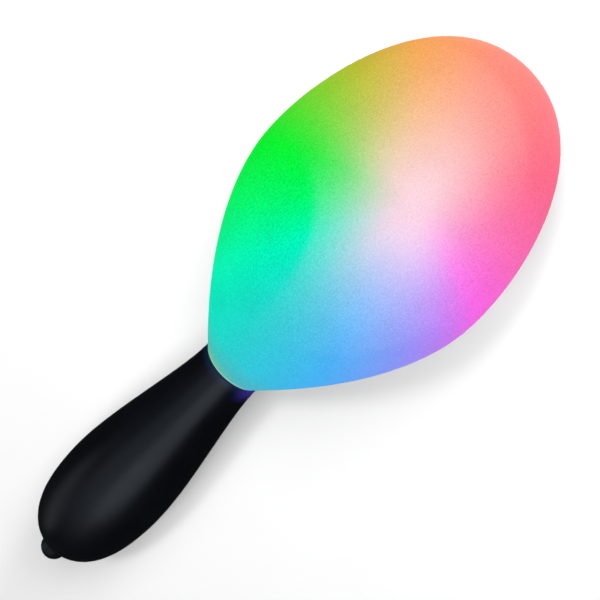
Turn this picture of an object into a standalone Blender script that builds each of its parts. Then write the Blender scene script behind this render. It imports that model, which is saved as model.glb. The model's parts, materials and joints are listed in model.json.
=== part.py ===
"""A light-up maraca: a hollow egg-shaped head of beads on a moulded handle that holds the lights.

Everything is modelled in the instrument's own frame and then laid down on the table.
Instrument frame: +Z runs from the handle to the head, z = 0 at the head's mouth, and +X points
to the rear side, which holds the screws and the battery door and lies underneath at rest.
"""

import math

import bmesh
import bpy
from mathutils import Vector

MM = 0.001
GAP = 0.3 * MM

# Head: an egg turned about the axis, open at the mouth.
HEAD_RADIUS = 35.0 * MM
HEAD_BELLY_Z = 57.2 * MM
HEAD_CROWN_Z = 108.5 * MM
HEAD_WALL = 1.5 * MM
MOUTH_RADIUS = 9.6 * MM
MOUTH_FLARE = math.radians(36.3)
MOUTH_ARM = 19.7 * MM
BELLY_ARM_DOWN = 18.8 * MM
BELLY_ARM_UP = 17.2 * MM
CROWN_ARM = 25.6 * MM

# Handle: a slim neck that swells to a bulb with a blunt round end.
HANDLE_RADIUS = 17.5 * MM
HANDLE_BELLY_Z = -64.2 * MM
HANDLE_END_Z = -95.9 * MM
HANDLE_WALL = 1.8 * MM
NECK_RADIUS = 9.5 * MM
NECK_FLARE = 0.023
END_ARM = 14.9 * MM
BULB_ARM_DOWN = 17.6 * MM
BULB_ARM_UP = 19.9 * MM
NECK_ARM = 13.6 * MM

# Spigot: the handle's stepped top, which snaps into the head's mouth.
SPIGOT_RADIUS = 7.4 * MM
SPIGOT_BORE = 5.9 * MM
SNAP_RADIUS = 8.5 * MM
SNAP_Z = 1.6 * MM
SPIGOT_TOP_Z = 3.0 * MM
SHOULDER_Z = -0.4 * MM

# Clear window over the lights
WINDOW_BRIM = 1.1 * MM
WINDOW_SKIRT_WALL = 0.9 * MM
WINDOW_SKIRT_Z = 1.2 * MM
WINDOW_DOME_HEIGHT = 5.0 * MM
WINDOW_HOLLOW_HEIGHT = 4.0 * MM

# Boards sit in grooves turned into the inside of both handle shells.
LED_BOARD_RADIUS = 6.6 * MM
LED_BOARD_Z = -1.85 * MM
SWITCH_BOARD_RADIUS = 11.6 * MM
SWITCH_BOARD_Z = -84.6 * MM
BOARD_THICKNESS = 1.2 * MM
GROOVE_RIB = 1.0 * MM
GROOVE_DEPTH = 1.0 * MM
CHIP_SIZE = (3.9 * MM, 4.9 * MM, 1.5 * MM)

# Lights
LED_RADIUS = 1.5 * MM
LED_FLANGE_RADIUS = 1.9 * MM
LED_FLANGE = 1.0 * MM
LED_HEIGHT = 5.3 * MM
LED_CIRCLE = 2.7 * MM

# Rattle beads
BEAD_RADIUS = 2.2 * MM
BEAD_PITCH = 4.9 * MM
BEAD_ROWS = (2, 3, 4, 3)

# Push button in the handle's end
BUTTON_RADIUS = 4.6 * MM
BUTTON_TIP_Z = -106.3 * MM
BUTTON_FACE_RADIUS = 1.5 * MM
BUTTON_FLANGE_RADIUS = 6.2 * MM
BUTTON_STEM_RADIUS = 2.0 * MM
BUTTON_SEAT_Z = -93.0 * MM
BUTTON_FLANGE = 1.2 * MM
BUTTON_TRAVEL = 1.0 * MM
BUTTON_COIL_RADIUS = 5.0 * MM
BUTTON_COIL_WIRE = 0.35 * MM

# Tactile switch under the button
SWITCH_SIDE = 6.0 * MM
SWITCH_HEIGHT = 3.6 * MM
PLUNGER_RADIUS = 1.75 * MM
PLUNGER_LENGTH = 2.7 * MM
PLUNGER_OUT = 1.5 * MM

# Power: a row of button cells in a cradle, behind a screwed door
CELL_RADIUS = 5.8 * MM
CELL_HEIGHT = 5.4 * MM
CELL_COUNT = 3
CELL_AXIS_X = 6.5 * MM
CELL_FIRST_Z = -76.9 * MM
CELL_CAP_RADIUS = 4.5 * MM
CELL_CAP_STEP = 0.4 * MM
CRADLE_WALL = 1.2 * MM
CRADLE_HEIGHT = 11.5 * MM
CRADLE_FLOOR_X = -1.0 * MM
CRADLE_HALF_WIDTH = 7.3 * MM
CRADLE_Z = (-81.0 * MM, -57.9 * MM)
EAR_RADIUS = 2.9 * MM
EAR_STRAP_SHARE = 0.8
POST_WALL = 0.9 * MM
DOOR_HALF_WIDTH = 6.9 * MM
DOOR_Z = (-82.0 * MM, -52.6 * MM)
DOOR_WALL = 1.6 * MM
DOOR_SCREW_Z = -55.3 * MM
DOOR_INNER_X = 9.0 * MM
DOOR_CORNER = 2.0 * MM
DOOR_SEAT_DEPTH = 2.6 * MM
DOOR_BOSS_WALL = 1.3 * MM
DOOR_BOSS_FLOOR = 1.6 * MM

# Contacts in the cradle: x span, y span of the positive plate (the negative one is its mirror image),
# and the solder tags that pass through slots in the cradle's end walls
CONTACT_X = (1.0 * MM, 10.0 * MM)
CONTACT_Y = (-5.0 * MM, 5.4 * MM)
CONTACT_THICKNESS = 0.5 * MM
TAG_X = (1.4 * MM, 2.1 * MM)
TAG_Y = (3.6 * MM, 5.3 * MM)
TAG_REACH = 2.4 * MM
CONTACT_COIL_RADIUS = 4.0 * MM
CONTACT_COIL_WIRE = 0.3 * MM
CONTACT_COIL_TAPER = 0.45

# Self-tapping screws: (z, y) on the rear side. The lower pair also clamps the cradle's ears.
UPPER_SCREWS = ((-16.0 * MM, 0.0), (-44.0 * MM, 0.0))
LOWER_SCREWS = ((-68.0 * MM, 11.6 * MM), (-68.0 * MM, -11.6 * MM))
HANDLE_SCREWS = UPPER_SCREWS + LOWER_SCREWS
SCREW_HEAD_RADIUS = 1.9 * MM
SCREW_HEAD_HEIGHT = 1.3 * MM
SCREW_SHANK_RADIUS = 0.95 * MM
SCREW_LENGTH = 8.5 * MM
BOSS_RADIUS = 3.1 * MM
BOSS_SEAT_X = 3.2 * MM

# Wires run along both sides of the screw bosses, and bend in to the light board at the neck.
WIRE_RADIUS = 0.5 * MM
WIRE_SIDE_Y = 5.4 * MM
WIRE_BEND_Z = -10.0 * MM
WIRE_RISE_Z = -6.0 * MM
BULB_PASS_Z = -70.0 * MM

OUTSIDE = 25.0 * MM
FINE_STEPS = 32
SMALL_STEPS = 20


def clear_scene():
    for obj in list(bpy.data.objects):
        bpy.data.objects.remove(obj, do_unlink=True)


def new_collection(name):
    collection = bpy.data.collections.new(name)
    bpy.context.scene.collection.children.link(collection)
    return collection


def plastic(name, colour, roughness, metallic=0.0, alpha=1.0, glow=0.0):
    material = bpy.data.materials.new(name)
    material.use_nodes = True
    surface = material.node_tree.nodes["Principled BSDF"]
    surface.inputs["Base Color"].default_value = (*colour, 1.0)
    surface.inputs["Roughness"].default_value = roughness
    surface.inputs["Metallic"].default_value = metallic
    surface.inputs["Alpha"].default_value = alpha
    surface.inputs["Emission Color"].default_value = (*colour, 1.0)
    surface.inputs["Emission Strength"].default_value = glow
    material.diffuse_color = (*colour, alpha)
    return material


# ---------------------------------------------------------------- outlines, as (radius, z) points


def bezier(p0, p1, p2, p3, count):
    """Points along a cubic curve, with both ends."""
    points = []
    for i in range(count + 1):
        t = i / count
        s = 1.0 - t
        weights = (s**3, 3 * s * s * t, 3 * s * t * t, t**3)
        points.append(
            tuple(sum(w * p[k] for w, p in zip(weights, (p0, p1, p2, p3))) for k in (0, 1))
        )
    return points


def head_outline(count):
    """The egg, from the crown down to the mouth."""
    crown = (0.0, HEAD_CROWN_Z)
    belly = (HEAD_RADIUS, HEAD_BELLY_Z)
    mouth = (MOUTH_RADIUS, 0.0)
    flare = (
        MOUTH_RADIUS + MOUTH_ARM * math.sin(MOUTH_FLARE),
        MOUTH_ARM * math.cos(MOUTH_FLARE),
    )
    crown_arm = (CROWN_ARM, HEAD_CROWN_Z)
    upper = bezier(crown, crown_arm, (HEAD_RADIUS, HEAD_BELLY_Z + BELLY_ARM_UP), belly, count)
    lower = bezier(belly, (HEAD_RADIUS, HEAD_BELLY_Z - BELLY_ARM_DOWN), flare, mouth, count)
    return upper + lower[1:]


def handle_outline(count):
    """The grip, from the shoulder under the head down to the pole of the blunt end."""
    neck = (NECK_RADIUS, SHOULDER_Z)
    belly = (HANDLE_RADIUS, HANDLE_BELLY_Z)
    pole = (0.0, HANDLE_END_Z)
    flare = (
        NECK_RADIUS - NECK_ARM * math.sin(NECK_FLARE),
        SHOULDER_Z - NECK_ARM * math.cos(NECK_FLARE),
    )
    upper = bezier(neck, flare, (HANDLE_RADIUS, HANDLE_BELLY_Z + BULB_ARM_UP), belly, count)
    pole_arm = (END_ARM, HANDLE_END_Z)
    lower = bezier(belly, (HANDLE_RADIUS, HANDLE_BELLY_Z - BULB_ARM_DOWN), pole_arm, pole, count)
    return upper + lower[1:]


def inset(outline, depth):
    """The outline moved inwards by depth, square to itself."""
    moved = []
    for i, (radius, z) in enumerate(outline):
        before = outline[max(i - 1, 0)]
        after = outline[min(i + 1, len(outline) - 1)]
        along = Vector((after[0] - before[0], after[1] - before[1])).normalized()
        moved.append((radius + along.y * depth, z - along.x * depth))
    return moved


def on_axis(point):
    return (0.0, point[1])


def radius_at(outline, z):
    """The outline's radius at a height, between its points."""
    for (r0, z0), (r1, z1) in zip(outline, outline[1:]):
        if min(z0, z1) <= z <= max(z0, z1):
            return r0 + (r1 - r0) * (z - z0) / (z1 - z0)
    return 0.0


# ------------------------------------------------------------------------------- modelling tools


class Kit:
    """Where finished parts and cutters go, and the empty that lays the instrument down."""

    parts = None
    cutters = None
    instrument = None


def add_part(obj, material):
    """File obj as a sub-part of the instrument."""
    Kit.parts.objects.link(obj)
    obj.parent = Kit.instrument
    if obj.type == "CURVE" or not obj.data.materials:
        obj.data.materials.append(material)
    return obj


def add_cutter(obj):
    Kit.cutters.objects.link(obj)
    obj.parent = Kit.instrument
    obj.hide_render = True
    obj.display_type = "WIRE"
    return obj


def turned(name, outline, steps):
    """A profile turned about Z. The profile runs down its outer side."""
    mesh = bpy.data.meshes.new(name)
    points = [(radius, 0.0, z) for radius, z in outline]
    edges = [(i, i + 1) for i in range(len(points) - 1)]
    mesh.from_pydata(points, edges, [])
    obj = bpy.data.objects.new(name, mesh)
    screw = obj.modifiers.new("Turn", "SCREW")
    screw.angle = math.tau
    screw.steps = steps
    screw.render_steps = steps
    screw.use_merge_vertices = True
    screw.merge_threshold = 0.01 * MM
    screw.use_smooth_shade = True
    return obj


def box(name, low, high):
    mesh = bpy.data.meshes.new(name)
    shape = bmesh.new()
    bmesh.ops.create_cube(shape, size=1.0)
    size = [high[k] - low[k] for k in range(3)]
    bmesh.ops.scale(shape, vec=size, verts=shape.verts)
    centre = Vector([(high[k] + low[k]) / 2 for k in range(3)])
    bmesh.ops.translate(shape, vec=centre, verts=shape.verts)
    shape.to_mesh(mesh)
    shape.free()
    return bpy.data.objects.new(name, mesh)


def cylinder(name, radius, z_low, z_high, steps=SMALL_STEPS):
    """A cylinder about its own Z."""
    mesh = bpy.data.meshes.new(name)
    shape = bmesh.new()
    bmesh.ops.create_cone(
        shape, cap_ends=True, segments=steps, radius1=radius, radius2=radius, depth=z_high - z_low
    )
    bmesh.ops.translate(shape, vec=(0.0, 0.0, (z_low + z_high) / 2), verts=shape.verts)
    shape.to_mesh(mesh)
    shape.free()
    return bpy.data.objects.new(name, mesh)


def point_to_rear(obj, y, z):
    """Turn obj so that its own +Z is the instrument's +X, through (y, z)."""
    obj.rotation_euler = (0.0, math.pi / 2, 0.0)
    obj.location = (0.0, y, z)
    return obj


def boolean(obj, operation, other):
    modifier = obj.modifiers.new(operation.title(), "BOOLEAN")
    modifier.operation = operation
    modifier.solver = "EXACT"
    modifier.object = other


def bevelled(obj, width, segments=1):
    bevel = obj.modifiers.new("Edges", "BEVEL")
    bevel.width = width
    bevel.segments = segments
    bevel.limit_method = "ANGLE"
    bevel.angle_limit = math.radians(40)


def rod_curve(name, points, radius):
    """A round rod or wire through points, with filled ends."""
    curve = bpy.data.curves.new(name, "CURVE")
    curve.dimensions = "3D"
    curve.bevel_depth = radius
    curve.bevel_resolution = 2
    curve.use_fill_caps = True
    spline = curve.splines.new("POLY")
    spline.points.add(len(points) - 1)
    for place, point in zip(spline.points, points):
        place.co = (*point, 1.0)
    return bpy.data.objects.new(name, curve)


def coil_points(radius, z_low, z_high, turns, per_turn, taper=1.0):
    """Points up a coil with one flat turn at each end."""
    count = turns * per_turn
    points = []
    for i in range(count + 1):
        share = i / count
        rise = min(max((share * turns - 1) / (turns - 2), 0.0), 1.0)
        size = radius * (1 + (taper - 1) * share)
        angle = math.tau * i / per_turn
        points.append((size * math.cos(angle), size * math.sin(angle), z_low + (z_high - z_low) * rise))
    return points


# ------------------------------------------------------------------------------------------ head


def build_head():
    outer = head_outline(9)
    inner = inset(head_outline(7), HEAD_WALL)
    inner[0] = on_axis(inner[0])
    inner[-1] = (inner[-1][0], 0.0)
    wall = outer + list(reversed(inner))
    shell = turned("head_shell", wall, FINE_STEPS)
    add_part(shell, plastic("frosted_shell", (0.93, 0.91, 0.93), 0.55, glow=0.4))


def build_window():
    """Clear domed plug that closes the mouth over the lights and keeps the beads in the head."""
    seat = SPIGOT_TOP_Z + GAP
    brim = seat + WINDOW_BRIM
    skirt_out = SPIGOT_BORE - GAP
    skirt_in = skirt_out - WINDOW_SKIRT_WALL
    flange = SNAP_RADIUS - 0.2 * MM
    dome = quarter_arc(skirt_out + GAP, brim, WINDOW_DOME_HEIGHT, 5)
    hollow = quarter_arc(skirt_in, brim, WINDOW_HOLLOW_HEIGHT, 4)
    outline = dome + [
        (flange, brim),
        (flange, seat),
        (skirt_out, seat),
        (skirt_out, WINDOW_SKIRT_Z),
        (skirt_in, WINDOW_SKIRT_Z),
    ]
    outline += list(reversed(hollow))
    window = turned("light_window", outline, SMALL_STEPS)
    add_part(window, plastic("clear_window", (0.9, 0.93, 0.95), 0.08, alpha=0.35))


def quarter_arc(radius, z_base, height, count):
    """A quarter ellipse from the axis out to radius, ending at z_base."""
    points = []
    for i in range(count + 1):
        angle = math.pi / 2 * i / count
        points.append((radius * math.sin(angle), z_base + height * math.cos(angle)))
    return points


def bead_places():
    """Bead centres on the floor of the head, in rows across it, around its lowest point."""
    inner = inset(head_outline(60), HEAD_WALL + BEAD_RADIUS + GAP)
    lowest = max(inner, key=lambda point: point[0] - math.tan(rest_tilt()) * point[1])
    places = []
    for row, count in enumerate(BEAD_ROWS):
        z = lowest[1] + (row - 1.5) * BEAD_PITCH * math.sin(math.radians(60)) * 1.04
        radius = radius_at(inner, z)
        for column in range(count):
            angle = (column - (count - 1) / 2) * BEAD_PITCH / radius
            places.append((radius * math.cos(angle), radius * math.sin(angle), z))
    return places


def build_beads():
    material = plastic("bead_plastic", (0.86, 0.84, 0.80), 0.35)
    mesh = bpy.data.meshes.new("rattle_bead")
    shape = bmesh.new()
    bmesh.ops.create_uvsphere(shape, u_segments=12, v_segments=8, radius=BEAD_RADIUS)
    for face in shape.faces:
        face.smooth = True
    shape.to_mesh(mesh)
    shape.free()
    mesh.materials.append(material)
    for number, place in enumerate(bead_places(), 1):
        bead = bpy.data.objects.new(f"rattle_bead_{number:02d}", mesh)
        bead.location = place
        add_part(bead, material)


# ---------------------------------------------------------------------------------- handle shells


def handle_solid(name):
    """The whole handle with its spigot, solid inside."""
    top = [
        (0.0, SPIGOT_TOP_Z),
        (SNAP_RADIUS - 0.4 * MM, SPIGOT_TOP_Z),
        (SNAP_RADIUS, SPIGOT_TOP_Z - 0.5 * MM),
        (SNAP_RADIUS, SNAP_Z),
        (SPIGOT_RADIUS, SNAP_Z),
        (SPIGOT_RADIUS, SHOULDER_Z),
    ]
    return turned(name, top + handle_outline(9), FINE_STEPS)


def groove(board_radius, board_z, rib_radius):
    """A board's groove between two ribs, from the top rib down."""
    half = BOARD_THICKNESS / 2 + GAP / 2
    depth = board_radius + GAP
    return [
        (rib_radius, board_z + half),
        (depth, board_z + half),
        (depth, board_z - half),
        (rib_radius, board_z - half),
    ]


def cavity():
    """The room inside the handle: bore, board grooves, button seat, with the screw bosses left out."""
    wall = inset(handle_outline(9), HANDLE_WALL)
    led_groove = groove(LED_BOARD_RADIUS, LED_BOARD_Z, SPIGOT_BORE)
    rib = SWITCH_BOARD_RADIUS - GROOVE_DEPTH
    switch_groove = groove(SWITCH_BOARD_RADIUS, SWITCH_BOARD_Z, rib)
    neck_z = led_groove[-1][1] - GROOVE_RIB
    rib_top = switch_groove[0][1] + GROOVE_RIB
    rib_low = switch_groove[-1][1] - GROOVE_RIB
    slope = 1.0 * MM
    middle = [p for p in wall if rib_top + 1.5 * slope < p[1] < neck_z - 1.5 * slope]
    below = [p for p in wall if BUTTON_SEAT_Z + slope < p[1] < rib_low - slope / 2]
    above = SPIGOT_TOP_Z + 1.0 * MM
    outline = [(0.0, above), (SPIGOT_BORE, above)]
    outline += led_groove
    outline += [(SPIGOT_BORE, neck_z), (radius_at(wall, neck_z - slope), neck_z - slope)]
    outline += middle
    outline += [(radius_at(wall, rib_top + slope), rib_top + slope)]
    outline += [(rib, rib_top)]
    outline += switch_groove
    outline += [(rib, rib_low)]
    outline += below
    outline += [(BUTTON_FLANGE_RADIUS + 0.6 * MM, BUTTON_SEAT_Z), (0.0, BUTTON_SEAT_Z)]
    room = add_cutter(turned("handle_room", outline, FINE_STEPS))
    ear_low = CRADLE_FLOOR_X - GAP
    ear_high = CRADLE_FLOOR_X + CRADLE_WALL + GAP
    lengths = [(place, -OUTSIDE, OUTSIDE) for place in UPPER_SCREWS]
    lengths += [(place, -OUTSIDE, ear_low) for place in LOWER_SCREWS]
    lengths += [(place, ear_high, OUTSIDE) for place in LOWER_SCREWS]
    for number, ((z, y), low, high) in enumerate(lengths, 1):
        boss = cylinder(f"boss_{number}", BOSS_RADIUS, low, high)
        boolean(room, "DIFFERENCE", add_cutter(point_to_rear(boss, y, z)))
    return room


def build_handle_shells():
    material = plastic("handle_plastic", (0.012, 0.013, 0.016), 0.38)
    room = cavity()
    hole_z = (HANDLE_END_Z - 4 * MM, BUTTON_SEAT_Z + 3 * MM)
    button_hole = add_cutter(cylinder("button_hole", BUTTON_RADIUS + GAP, *hole_z))
    front = handle_solid("handle_front_shell")
    rear = handle_solid("handle_rear_shell")
    reach = 120 * MM
    front_half = box("front_half", (-reach, -reach, -reach), (-GAP / 2, reach, reach))
    rear_half = box("rear_half", (GAP / 2, -reach, -reach), (reach, reach, reach))
    boolean(front, "INTERSECT", add_cutter(front_half))
    boolean(rear, "INTERSECT", add_cutter(rear_half))
    for shell in (front, rear):
        boolean(shell, "DIFFERENCE", room)
        boolean(shell, "DIFFERENCE", button_hole)
    drill_screw_holes(front, rear)
    boolean(rear, "DIFFERENCE", add_cutter(door_block("door_opening", GAP)))
    add_part(front, material)
    add_part(rear, material)


def drill_screw_holes(front, rear):
    """Blind pilot holes in the front bosses, and deep head recesses in the rear ones."""
    for number, (z, y) in enumerate(HANDLE_SCREWS, 1):
        tip = BOSS_SEAT_X + GAP - SCREW_LENGTH
        pilot = cylinder(f"pilot_{number}", SCREW_SHANK_RADIUS + GAP, tip - GAP, BOSS_SEAT_X + 1 * MM)
        recess = cylinder(f"recess_{number}", SCREW_HEAD_RADIUS + GAP, BOSS_SEAT_X, OUTSIDE)
        for drill in (pilot, recess):
            add_cutter(point_to_rear(drill, y, z))
        boolean(front, "DIFFERENCE", pilot)
        boolean(rear, "DIFFERENCE", pilot)
        boolean(rear, "DIFFERENCE", recess)


def screw_object(name, length):
    """A pan-head screw along its own Z, head up, with its underside at z = 0."""
    edge = 0.35 * MM
    outline = [
        (0.0, SCREW_HEAD_HEIGHT),
        (SCREW_HEAD_RADIUS - edge, SCREW_HEAD_HEIGHT),
        (SCREW_HEAD_RADIUS, SCREW_HEAD_HEIGHT - edge),
        (SCREW_HEAD_RADIUS, 0.0),
        (SCREW_SHANK_RADIUS, 0.0),
        (SCREW_SHANK_RADIUS, -length + 1.2 * MM),
        (0.0, -length),
    ]
    screw = turned(name, outline, 16)
    for number, size in enumerate(((1.1, 0.2), (0.2, 1.1)), 1):
        low = (-size[0] * MM, -size[1] * MM, SCREW_HEAD_HEIGHT - 0.7 * MM)
        high = (size[0] * MM, size[1] * MM, SCREW_HEAD_HEIGHT + 1 * MM)
        slot = box(f"{name}_slot_{number}", low, high)
        slot.parent = screw
        Kit.cutters.objects.link(slot)
        slot.hide_render = True
        slot.display_type = "WIRE"
        boolean(screw, "DIFFERENCE", slot)
    return screw


def build_handle_screws():
    material = plastic("screw_steel", (0.55, 0.56, 0.58), 0.35, metallic=1.0)
    for number, (z, y) in enumerate(HANDLE_SCREWS, 1):
        screw = screw_object(f"handle_screw_{number}", SCREW_LENGTH)
        point_to_rear(screw, y, z)
        screw.location.x = BOSS_SEAT_X + GAP
        add_part(screw, material)
    door_screw = screw_object("battery_door_screw", SCREW_LENGTH)
    point_to_rear(door_screw, 0.0, DOOR_SCREW_Z)
    door_screw.location.x = door_seat_x() + GAP
    add_part(door_screw, material)


# ------------------------------------------------------------------------------------- batteries


def door_block(name, grow):
    """The block that outlines the battery door, grown all round by grow."""
    low = (DOOR_INNER_X, -DOOR_HALF_WIDTH - grow, DOOR_Z[0] - grow)
    high = (OUTSIDE, DOOR_HALF_WIDTH + grow, DOOR_Z[1] + grow)
    block = box(name, low, high)
    corners = block.modifiers.new("Corners", "BEVEL")
    corners.width = DOOR_CORNER + grow
    corners.segments = 3
    corners.limit_method = "ANGLE"
    return block


def door_seat_x():
    """Where the door screw's head sits, under the door's face."""
    return radius_at(handle_outline(9), DOOR_SCREW_Z) - DOOR_SEAT_DEPTH


def build_battery_door():
    """A curved panel cut from the grip's own surface, with a screw boss behind it."""
    outline = handle_outline(9)
    door = turned("battery_door", outline, FINE_STEPS)
    hollow = [p for p in inset(outline, DOOR_WALL) if DOOR_Z[0] - 6 * MM < p[1] < DOOR_Z[1] + 9 * MM]
    hollow = [on_axis(hollow[0])] + hollow + [on_axis(hollow[-1])]
    inside = add_cutter(turned("door_hollow", hollow, FINE_STEPS))
    boss_radius = SCREW_HEAD_RADIUS + DOOR_BOSS_WALL
    boss = cylinder("door_boss", boss_radius, door_seat_x() - DOOR_BOSS_FLOOR, OUTSIDE)
    add_cutter(point_to_rear(boss, 0.0, DOOR_SCREW_Z))
    boolean(inside, "DIFFERENCE", boss)
    boolean(door, "DIFFERENCE", inside)
    boolean(door, "INTERSECT", add_cutter(door_block("door_edge", 0.0)))
    shank = cylinder("door_screw_hole", SCREW_SHANK_RADIUS + GAP, DOOR_INNER_X / 2, OUTSIDE)
    recess = cylinder("door_screw_recess", SCREW_HEAD_RADIUS + GAP, door_seat_x(), OUTSIDE)
    for drill in (shank, recess):
        add_cutter(point_to_rear(drill, 0.0, DOOR_SCREW_Z))
        boolean(door, "DIFFERENCE", drill)
    add_part(door, plastic("door_plastic", (0.012, 0.013, 0.016), 0.42))


def build_cradle():
    """An open tray for the cells, with a post that takes the door's screw."""
    low_z, high_z = CRADLE_Z
    width = CRADLE_HALF_WIDTH
    post_radius = SCREW_HEAD_RADIUS + POST_WALL
    cradle = box("battery_cradle", (CRADLE_FLOOR_X, -width, low_z), (CRADLE_HEIGHT, width, high_z))
    inside = box(
        "cradle_room",
        (CRADLE_FLOOR_X + CRADLE_WALL, -width + CRADLE_WALL, low_z + CRADLE_WALL),
        (OUTSIDE, width - CRADLE_WALL, high_z - CRADLE_WALL),
    )
    post_top = door_seat_x() - DOOR_BOSS_FLOOR - GAP
    post = cylinder("door_screw_post", post_radius, CRADLE_FLOOR_X, post_top)
    add_cutter(point_to_rear(post, 0.0, DOOR_SCREW_Z))
    boolean(cradle, "UNION", post)
    add_ears(cradle)
    boolean(cradle, "DIFFERENCE", add_cutter(inside))
    hole_end = door_seat_x() - SCREW_LENGTH - GAP
    hole = cylinder("door_screw_pilot", SCREW_SHANK_RADIUS + GAP, hole_end, OUTSIDE)
    boolean(cradle, "DIFFERENCE", add_cutter(point_to_rear(hole, 0.0, DOOR_SCREW_Z)))
    room = 0.45 * MM
    for name, sign, z in (("slot_positive", 1, high_z), ("slot_negative", -1, low_z)):
        near_y, far_y = sorted((sign * (TAG_Y[0] - room), sign * (TAG_Y[1] + room)))
        low = (TAG_X[0] - room, near_y, z - 2 * MM)
        high = (TAG_X[1] + room, far_y, z + 2 * MM)
        boolean(cradle, "DIFFERENCE", add_cutter(box(name, low, high)))
    add_part(cradle, plastic("cradle_plastic", (0.03, 0.03, 0.035), 0.5))


def add_ears(cradle):
    """A lug on each side of the cradle's floor, with a hole for a lower handle screw."""
    top = CRADLE_FLOOR_X + CRADLE_WALL
    for number, (z, y) in enumerate(LOWER_SCREWS, 1):
        low_y, high_y = sorted((y, 0.0))
        low = (CRADLE_FLOOR_X, low_y, z - EAR_RADIUS * EAR_STRAP_SHARE)
        high = (top, high_y, z + EAR_RADIUS * EAR_STRAP_SHARE)
        strap = add_cutter(box(f"ear_strap_{number}", low, high))
        lug = cylinder(f"ear_lug_{number}", EAR_RADIUS, CRADLE_FLOOR_X, top)
        hole = cylinder(f"ear_hole_{number}", SCREW_SHANK_RADIUS + GAP, -5 * MM, 5 * MM)
        for shape in (lug, hole):
            add_cutter(point_to_rear(shape, y, z))
        boolean(cradle, "UNION", strap)
        boolean(cradle, "UNION", lug)
        boolean(cradle, "DIFFERENCE", hole)


def build_cells():
    material = plastic("cell_steel", (0.70, 0.70, 0.68), 0.25, metallic=1.0)
    top = CELL_HEIGHT
    edge = 0.3 * MM
    outline = [
        (0.0, top),
        (CELL_CAP_RADIUS, top),
        (CELL_CAP_RADIUS, top - CELL_CAP_STEP),
        (CELL_RADIUS - edge, top - CELL_CAP_STEP),
        (CELL_RADIUS, top - 2 * CELL_CAP_STEP),
        (CELL_RADIUS, edge),
        (CELL_RADIUS - edge, 0.0),
        (0.0, 0.0),
    ]
    for number in range(CELL_COUNT):
        cell = turned(f"button_cell_{number + 1}", outline, SMALL_STEPS)
        cell.location = (CELL_AXIS_X, 0.0, CELL_FIRST_Z + number * (CELL_HEIGHT + GAP))
        add_part(cell, material)


def build_contacts():
    """A flat positive plate above the cells and a coned negative spring plate below them."""
    material = plastic("contact_nickel", (0.72, 0.70, 0.64), 0.3, metallic=1.0)
    stack_top = CELL_FIRST_Z + CELL_COUNT * CELL_HEIGHT + (CELL_COUNT - 1) * GAP
    top_wall = CRADLE_Z[1] - CRADLE_WALL
    low_z, high_z = stack_top + GAP, top_wall - GAP
    low_y, high_y = CONTACT_Y
    plate = box("contact_plate", (CONTACT_X[0], low_y, low_z), (CONTACT_X[1], high_y, high_z))
    tag_high = (TAG_X[1], TAG_Y[1], high_z + TAG_REACH)
    tag = box("positive_tag", (TAG_X[0], TAG_Y[0], low_z), tag_high)
    boolean(plate, "UNION", add_cutter(tag))
    add_part(plate, material)
    floor = CRADLE_Z[0] + CRADLE_WALL + GAP
    base_high = (CONTACT_X[1], -low_y, floor + CONTACT_THICKNESS)
    base = box("contact_spring", (CONTACT_X[0], -high_y, floor), base_high)
    root = floor + CONTACT_COIL_WIRE
    tag_low = (TAG_X[0], -TAG_Y[1], floor - TAG_REACH)
    tag = box("negative_tag", tag_low, (TAG_X[1], -TAG_Y[0], root))
    boolean(base, "UNION", add_cutter(tag))
    rise = CELL_FIRST_Z - GAP - root
    wire = CONTACT_COIL_WIRE
    coil = coil_points(CONTACT_COIL_RADIUS, wire, rise - wire, 3, 14, CONTACT_COIL_TAPER)
    spring = meshed(rod_curve("negative_coil", coil, wire))
    spring.location = (CELL_AXIS_X, 0.0, root)
    boolean(base, "UNION", spring)
    add_part(base, material)


def meshed(obj):
    """A curve object made into a welded mesh cutter with the same name."""
    name = obj.name
    bpy.context.scene.collection.objects.link(obj)
    bpy.context.view_layer.update()
    graph = bpy.context.evaluated_depsgraph_get()
    mesh = bpy.data.meshes.new_from_object(obj.evaluated_get(graph))
    shape = bmesh.new()
    shape.from_mesh(mesh)
    bmesh.ops.remove_doubles(shape, verts=shape.verts, dist=0.001 * MM)
    shape.to_mesh(mesh)
    shape.free()
    bpy.data.objects.remove(obj, do_unlink=True)
    return add_cutter(bpy.data.objects.new(name, mesh))


# ------------------------------------------------------------------------------ lights and switch


def build_boards():
    material = plastic("board_green", (0.05, 0.22, 0.12), 0.45)
    half = BOARD_THICKNESS / 2
    for name, radius, z in (
        ("led_board", LED_BOARD_RADIUS, LED_BOARD_Z),
        ("switch_board", SWITCH_BOARD_RADIUS, SWITCH_BOARD_Z),
    ):
        add_part(cylinder(name, radius, z - half, z + half, 32), material)
    top = LED_BOARD_Z - half - GAP
    width, length, height = CHIP_SIZE
    low = (-width / 2, -length / 2, top - height)
    chip = box("controller_chip", low, (width / 2, length / 2, top))
    bevelled(chip, 0.2 * MM)
    add_part(chip, plastic("chip_black", (0.02, 0.02, 0.02), 0.5))


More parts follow.
